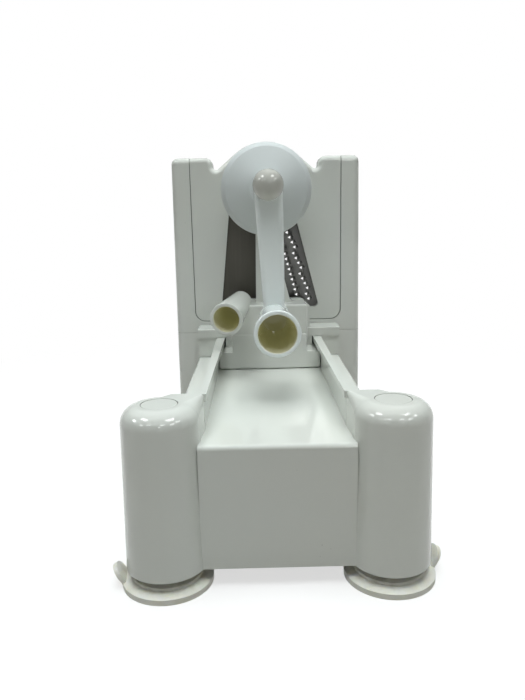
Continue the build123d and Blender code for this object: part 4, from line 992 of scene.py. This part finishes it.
@dataclass
class Teeth:
    """Toothed plate: the punched sheet of its node, and hooked teeth by Geometry Nodes."""

    sheet_y: float = 78.8
    outer_start: tuple[float, float] = (11.0, 190.9)
    group_step: tuple[float, float] = (4.9, -16.07)
    tooth_step: tuple[float, float] = (1.95, -3.78)
    groups: int = 5
    in_group: int = 4
    outer_end: float = 121.0
    inner_start: tuple[float, float] = (9.4, 174.4)
    inner_step: tuple[float, float] = (1.12, -4.0)
    inner_count: int = 13
    shift: tuple[float, float] = (1.9, 0.6)
    radius: float = 1.25
    height: float = 2.4

    def places(self) -> list[Point]:
        """Return the foot of every tooth in metres."""
        rows = []
        for group in range(self.groups):
            for step in range(self.in_group):
                x = self.outer_start[0] + group * self.group_step[0] + step * self.tooth_step[0]
                z = self.outer_start[1] + group * self.group_step[1] + step * self.tooth_step[1]
                if z > self.outer_end:
                    rows.append((x, z))
        for step in range(self.inner_count):
            x = self.inner_start[0] + step * self.inner_step[0]
            rows.append((x, self.inner_start[1] + step * self.inner_step[1]))
        aside, rise = self.shift
        return [(MM * (x + aside), MM * self.sheet_y, MM * (z + rise)) for x, z in rows]

    def tooth(self) -> Mesh:
        """Return one tooth along +Z: a triangle that narrows and hooks to the left."""
        rings = []
        for share in (-0.15, 0.0, 0.25, 0.5, 0.75, 0.92, 1.0):
            size = self.radius * (1.0 - 0.52 * max(share, 0.0) ** 1.4)
            size *= 0.75 if share == 1.0 else 1.0
            lean = -0.30 * max(share, 0.0) ** 2
            height = self.height * share
            ring = []
            for corner in range(3):
                for nudge in (-9, 9):
                    angle = math.radians(-30 + 120 * corner + nudge)
                    ring.append((lean + size * math.cos(angle), size * math.sin(angle), height))
            rings.append(ring)
        return closed_unit("tooth_unit", rings)

    def sheet(self) -> Mesh:
        """Return the punched sheet without the node's own plain teeth."""
        form = bmesh.new()
        form.from_mesh(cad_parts["tooth_plate"].data)
        bmesh.ops.remove_doubles(form, verts=form.verts, dist=WELD)
        proud = [vertex for vertex in form.verts if vertex.co.y < MM * (self.sheet_y - 0.05)]
        bmesh.ops.delete(form, geom=proud, context="VERTS")
        bmesh.ops.holes_fill(form, edges=[edge for edge in form.edges if edge.is_boundary], sides=0)
        bmesh.ops.dissolve_limit(form, angle_limit=FLAT_ANGLE, verts=form.verts, edges=form.edges)
        bmesh.ops.triangulate(form, faces=form.faces)
        bmesh.ops.recalc_face_normals(form, faces=form.faces)
        return kept("punched_sheet", form)

    def build(self, repeat: Repeat, material: Material) -> None:
        """Make the plate stand for its node.

        Args:
            repeat: The shared Geometry Nodes group.
            material: The finish.
        """
        teeth = repeat.mesh("teeth", self.places(), self.tooth(), HEAD_FRONT, 0.06, material)
        piece = joined("tooth_plate_dressed", (self.sheet(), teeth))
        paint(piece, material)
        LOG.info("tooth plate: %d teeth", len(self.places()))
        stand_for(piece, "tooth_plate", Body.CARTRIDGE)


@dataclass
class Cartridge:
    """Lift-out cartridge with its straight blade, toothed plate and coring ring."""

    screws: ScrewSet = ScrewSet(
        "blade_screws",
        Body.CARTRIDGE,
        [(-21.0, 78.2, 198.6), (-28.0, 78.2, 114.1), (15.5, 79.8, 198.6), (32.0, 79.8, 114.1)],
        HEAD_BACK,
        ScrewSize(shank=1.2, length=3.0, head=2.5, height=1.6),
    )

    def build(self, finishes: Finishes, repeat: Repeat) -> None:
        """Make and dress the pieces."""
        Moulding("cartridge_frame", Body.CARTRIDGE).build(finishes.plastic, "white_plastic")
        dress("slicing_blade", finishes.blade)
        Teeth().build(repeat, finishes.teeth)
        dress("coring_ring", finishes.blade)
        self.screws.build(repeat, finishes.metal)


@dataclass
class Carriage:
    """Sliding carriage with its bearing and push handle."""

    # The handle's bore, which gets painted shade and a painted glow.
    bore: TubeBore = TubeBore(
        mouth=(-0.0298, 0.006, 0.1192),
        floor=(-0.02325, 0.03839, 0.12328),
        mouth_radius=0.0089,
        floor_radius=0.0060,
    )
    cone: tuple = (
        (37.0, 9.7, 0.0),
        (37.0, 12.2, 1.0),
        (44.8, 30.6, 2.2),
        (49.6, 32.4, 0.8),
        (51.0, 32.4, 0.6),
        (51.0, 30.4, 0.0),
        (39.0, 11.7, 0.0),
        (39.0, 9.7, 0.0),
    )
    foot: tuple = ((44.6, 22.4, 0.0), (44.6, 24.4, 0.0), (52.0, 24.4, 0.2), (52.0, 22.4, 0.2))
    boss: tuple = ((42.8, 0.0, 0.0), (42.8, 3.0, 0.0), (52.0, 3.0, 0.3), (52.0, 0.0, 0.0))
    screw_ring: float = 18.4

    def ring(self) -> list[tuple[float, float]]:
        """Return x and z of the three screws around the crank axis."""
        reach = self.screw_ring
        angles = [math.radians(90 + 120 * step) for step in range(3)]
        return [(reach * math.cos(angle), AXIS_Z + reach * math.sin(angle)) for angle in angles]

    def build(self, finishes: Finishes, repeat: Repeat) -> None:
        """Make and dress the pieces."""
        plastic = WhitePlastic("carriage_plastic", bores=(self.bore,)).build()
        Moulding("carriage", Body.CARRIAGE).build(plastic, "white_plastic")
        centre = (0.0, AXIS_Z)
        shapes = [(list(self.cone), centre), (list(self.foot), centre)]
        shapes += [(list(self.boss), place) for place in self.ring()]
        Turned("bearing_shield", Body.CARRIAGE, shapes).build(finishes.shield, "white_plastic")
        dress("bearing_bush", finishes.bush)
        places = [(x, 57.6, z) for x, z in self.ring()]
        size = ScrewSize(shank=1.2, length=12.1, head=2.4, height=2.0)
        screws = ScrewSet("shield_screws", Body.CARRIAGE, places, HEAD_BACK, size)
        screws.build(repeat, finishes.metal)


@dataclass
class FoodHolder:
    """Pronged disc on the back end of the shaft: a spun body and prongs by Geometry Nodes."""

    body: tuple = (
        (60.6, 5.0, 0.0),
        (60.6, 9.0, 0.0),
        (62.0, 9.0, 0.0),
        (62.0, 25.0, 1.0),
        (65.4, 25.0, 1.0),
        (65.4, 9.0, 0.0),
        (69.0, 9.0, 0.4),
        (69.0, 5.0, 0.0),
    )
    rings: tuple[tuple[float, int], ...] = ((20.5, 12), (13.5, 6))
    disc_back: float = 65.4
    length: float = 7.8
    foot: float = 1.6
    tip: float = 0.504
    sides: int = 14
    turned: float = math.radians(2)

    def places(self) -> list[Point]:
        """Return the foot of every prong in metres."""
        found = []
        for radius, count in self.rings:
            for step in range(count):
                angle = math.tau * step / count + self.turned
                x, z = radius * math.cos(angle), AXIS_Z + radius * math.sin(angle)
                found.append((MM * x, MM * self.disc_back, MM * z))
        return found

    def prong(self) -> Mesh:
        """Return one prong along +Z with a rounded tip."""
        slope = (self.foot - self.tip) / self.length
        levels = [(-0.2, self.foot), (0.0, self.foot), (self.length - 0.4, self.tip + 0.4 * slope)]
        levels += [(self.length - 0.12, 0.8 * self.tip), (self.length, 0.35 * self.tip)]
        rings = []
        for height, radius in levels:
            angles = [math.tau * step / self.sides for step in range(self.sides)]
            rings.append([(radius * math.cos(a), radius * math.sin(a), height) for a in angles])
        return closed_unit("prong_unit", rings)

    def build(self, repeat: Repeat, material: Material) -> None:
        """Make the holder stand for its node.

        Args:
            repeat: The shared Geometry Nodes group.
            material: The finish.
        """
        disc = Turned("food_holder", Body.CRANK, [(list(self.body), (0.0, AXIS_Z))]).mesh()
        prongs = repeat.mesh("prongs", self.places(), self.prong(), HEAD_BACK, 0.0, material)
        piece = joined("food_holder_dressed", (disc, prongs))
        paint(piece, material)
        LOG.info("food holder: %d prongs", len(self.places()))
        stand_for(piece, "food_holder", Body.CRANK)


@dataclass
class Crank:
    """Crank with its cap, shaft and the food holder that it turns."""

    # The handle's bore, which gets painted shade and a painted glow.
    bore: TubeBore = TubeBore(
        mouth=(0.0030, -0.058, 0.12025),
        floor=(0.0030, -0.005, 0.12025),
        mouth_radius=0.0114,
        floor_radius=0.0078,
    )

    @staticmethod
    def dome() -> list[Point]:
        """Return the cap's profile: outer ball, seat, skirt and inner ball."""
        ball, centre, wall, seat = 9.7, -14.0, 1.6, -12.0
        skirt, bore, end = 6.95, 5.9, -8.2
        outer = [math.radians(angle) for angle in range(0, 100, 4)]
        profile = [(centre - ball * math.cos(a), ball * math.sin(a), 0.0) for a in outer]
        profile += [(seat, math.sqrt(ball**2 - (seat - centre) ** 2), 0.0), (seat, skirt, 0.0)]
        profile += [(end, skirt, 0.25), (end, bore, 0.25)]
        inner = [math.radians(angle) for angle in range(48, -1, -4)]
        ball -= wall
        profile += [(centre - ball * math.cos(a), ball * math.sin(a), 0.0) for a in inner]
        return profile

    def build(self, finishes: Finishes, repeat: Repeat) -> None:
        """Make and dress the pieces."""
        # Painted light: the crank's plastic is brighter than the base's so that the arm renders
        # lighter.
        plastic = WhitePlastic(
            "crank_plastic", COOL_WHITE_PAINTED_LIGHT, warm=(0.85, 0.905, 0.895), bores=(self.bore,)
        ).build()
        Moulding("crank_arm", Body.CRANK, 0.9 * MM).build(plastic, "white_plastic")
        FoodHolder().build(repeat, finishes.plastic)
        cap = Turned("hub_cap", Body.CRANK, [(self.dome(), (0.0, AXIS_Z))], segments=96)
        cap.build(finishes.cap, "cap_plastic")
        for node in ("crank_shaft", "crank_screw", "crank_washer", "holder_screw"):
            dress(node, finishes.metal)


# ---------------- stage


@dataclass
class Studio:
    """Pale floor, soft overhead light and the photograph's camera."""

    eye: Point = (-8.6 * MM, -411.5 * MM, 187.4 * MM)
    pitch: float = math.radians(12.16)
    yaw: float = math.radians(0.43)
    roll: float = math.radians(1.18)
    focal_pixels: float = 620.0
    long_side: float = 700.0
    sensor: float = 36.0
    room: tuple[tuple[float, Colour], ...] = (
        (0.0, (0.50, 0.50, 0.50)),
        (0.10, (0.46, 0.46, 0.46)),
        (0.22, (0.13, 0.13, 0.13)),
        (0.50, (0.14, 0.14, 0.14)),
        (0.75, (0.60, 0.60, 0.60)),
        (0.95, (0.90, 0.90, 0.90)),
    )
    ceiling: tuple[tuple[float, float], ...] = (
        (-1.45, -0.65),
        (1.15, -0.90),
        (-3.20, -0.30),
        (2.95, -1.10),
        (-3.50, -2.90),
        (-1.60, -3.00),
        (1.00, -3.30),
        (2.70, -2.90),
        (-4.60, -8.00),
        (0.80, -6.50),
        (2.80, -6.70),
    )
    ceiling_height: float = 2.4
    sky: float = 0.10
    floor_reach: float = 4.0
    panel_watts: float = 37.0
    ceiling_watts: float = 17.0

    def camera(self) -> None:
        """Place the camera where the photograph was taken."""
        ahead = Vector(
            (
                math.sin(self.yaw) * math.cos(self.pitch),
                math.cos(self.yaw) * math.cos(self.pitch),
                -math.sin(self.pitch),
            )
        )
        right = Vector((math.cos(self.yaw), -math.sin(self.yaw), 0.0))
        up = right.cross(ahead)
        x_axis = right * math.cos(self.roll) - up * math.sin(self.roll)
        y_axis = right * math.sin(self.roll) + up * math.cos(self.roll)
        data = bpy.data.cameras.new("camera")
        data.sensor_width = self.sensor
        data.lens = self.focal_pixels * self.sensor / self.long_side
        data.clip_start = 0.01
        view = bpy.data.objects.new("camera", data)
        turn = Matrix((x_axis, y_axis, -ahead)).transposed().to_4x4()
        view.matrix_world = Matrix.Translation(self.eye) @ turn
        bpy.context.scene.collection.objects.link(view)
        bpy.context.scene.camera = view

    def floor(self) -> None:
        """Lay a pale floor that keeps the object's shadow."""
        bench = Bench("pale_floor")
        camera, glossy, through = bench.rays()
        seen = camera.most(glossy).most(through)
        x, y, _ = bench.place()
        distance = (x * x + y * y) ** 0.5
        far = distance.step(0.10, 0.55)
        near_tone = bench.mix(far, (0.42, 0.42, 0.42), BLACK)
        colour = bench.mix(seen, (0.43, 0.415, 0.385), near_tone)
        glow = bench.mix(seen * (0.64 + 0.36 * far), BLACK, WHITE)
        bench.finish(
            {
                "Base Color": colour,
                "Roughness": 0.9,
                "Specular IOR Level": 0.0,
                "Emission Color": glow,
                "Emission Strength": 1.0,
            }
        )
        form = bmesh.new()
        bmesh.ops.create_grid(form, x_segments=1, y_segments=1, size=self.floor_reach)
        floor = linked("floor", kept("floor", form))
        paint(floor, bench.owner)

    def world(self) -> None:
        """Surround the scene with white, and with a plain room where gloss mirrors it."""
        world = bpy.data.worlds.new("studio")
        bpy.context.scene.world = world
        bench = Bench("studio", world)
        camera, glossy, through = bench.rays()
        upwards = bench.place("Generated")[2]
        ramp = bench.node("ShaderNodeValToRGB", {"stops": self.room}, {0: upwards})
        room = Field(bench, ramp.outputs[0])
        shown = camera.most(through)
        strength = shown + (1.0 - shown) * (self.sky * (1.0 - glossy) + glossy * room)
        background = bench.node(
            "ShaderNodeBackground", None, {"Color": wide(WHITE), "Strength": strength}
        )
        bench.node("ShaderNodeOutputWorld", None, {"Surface": background.outputs[0]})

    @staticmethod
    def lamp(
        name: str, place: Point, aim: Point, size: tuple[float, float], watts: float, only: str
    ) -> None:
        """Hang one area lamp.

        Args:
            name: The lamp's name.
            place: Its centre in metres.
            aim: The point that it looks at.
            size: Its sides in metres.
            watts: Its power.
            only: "diffuse" keeps it out of reflections, "gloss" keeps it to reflections.
        """
        data = bpy.data.lights.new(name, "AREA")
        data.shape = "RECTANGLE"
        data.size, data.size_y = size
        data.energy = watts
        data.color = (0.945, 1.0, 1.0) if only == "diffuse" else WHITE
        lamp = bpy.data.objects.new(name, data)
        lamp.visible_glossy = only != "diffuse"
        lamp.visible_diffuse = only != "gloss"
        turn = (Vector(aim) - Vector(place)).to_track_quat("-Z", "Y").to_matrix().to_4x4()
        lamp.matrix_world = Matrix.Translation(place) @ turn
        bpy.context.scene.collection.objects.link(lamp)

    def lamps(self) -> None:
        """Hang a soft panel overhead and the room's ceiling lights."""
        panel = (0.0, -0.10, 1.7)
        self.lamp("overhead_panel", panel, (0.0, 0.0, 0.1), (1.6, 1.6), self.panel_watts, "diffuse")
        aim, size, watts = (0.0, 0.0, 0.15), (0.9, 0.5), self.ceiling_watts
        for index, (x, y) in enumerate(self.ceiling):
            place = (x, y, self.ceiling_height)
            self.lamp(f"ceiling_light_{index}", place, aim, size, watts, "gloss")

    def build(self) -> None:
        """Set up everything around the object."""
        bpy.context.scene.view_settings.view_transform = "Standard"
        self.camera()
        self.floor()
        self.world()
        self.lamps()
        LOG.info("studio ready")


def main() -> None:
    """Build the sub-assemblies in order, then the studio."""
    logging.basicConfig(level=logging.INFO, format="%(name)s: %(message)s")
    finishes = Finishes()
    repeat = Repeat()
    Base().build(finishes, repeat)
    Cartridge().build(finishes, repeat)
    Carriage().build(finishes, repeat)
    Crank().build(finishes, repeat)
    Studio().build()


if __name__ == "__main__":
    main()
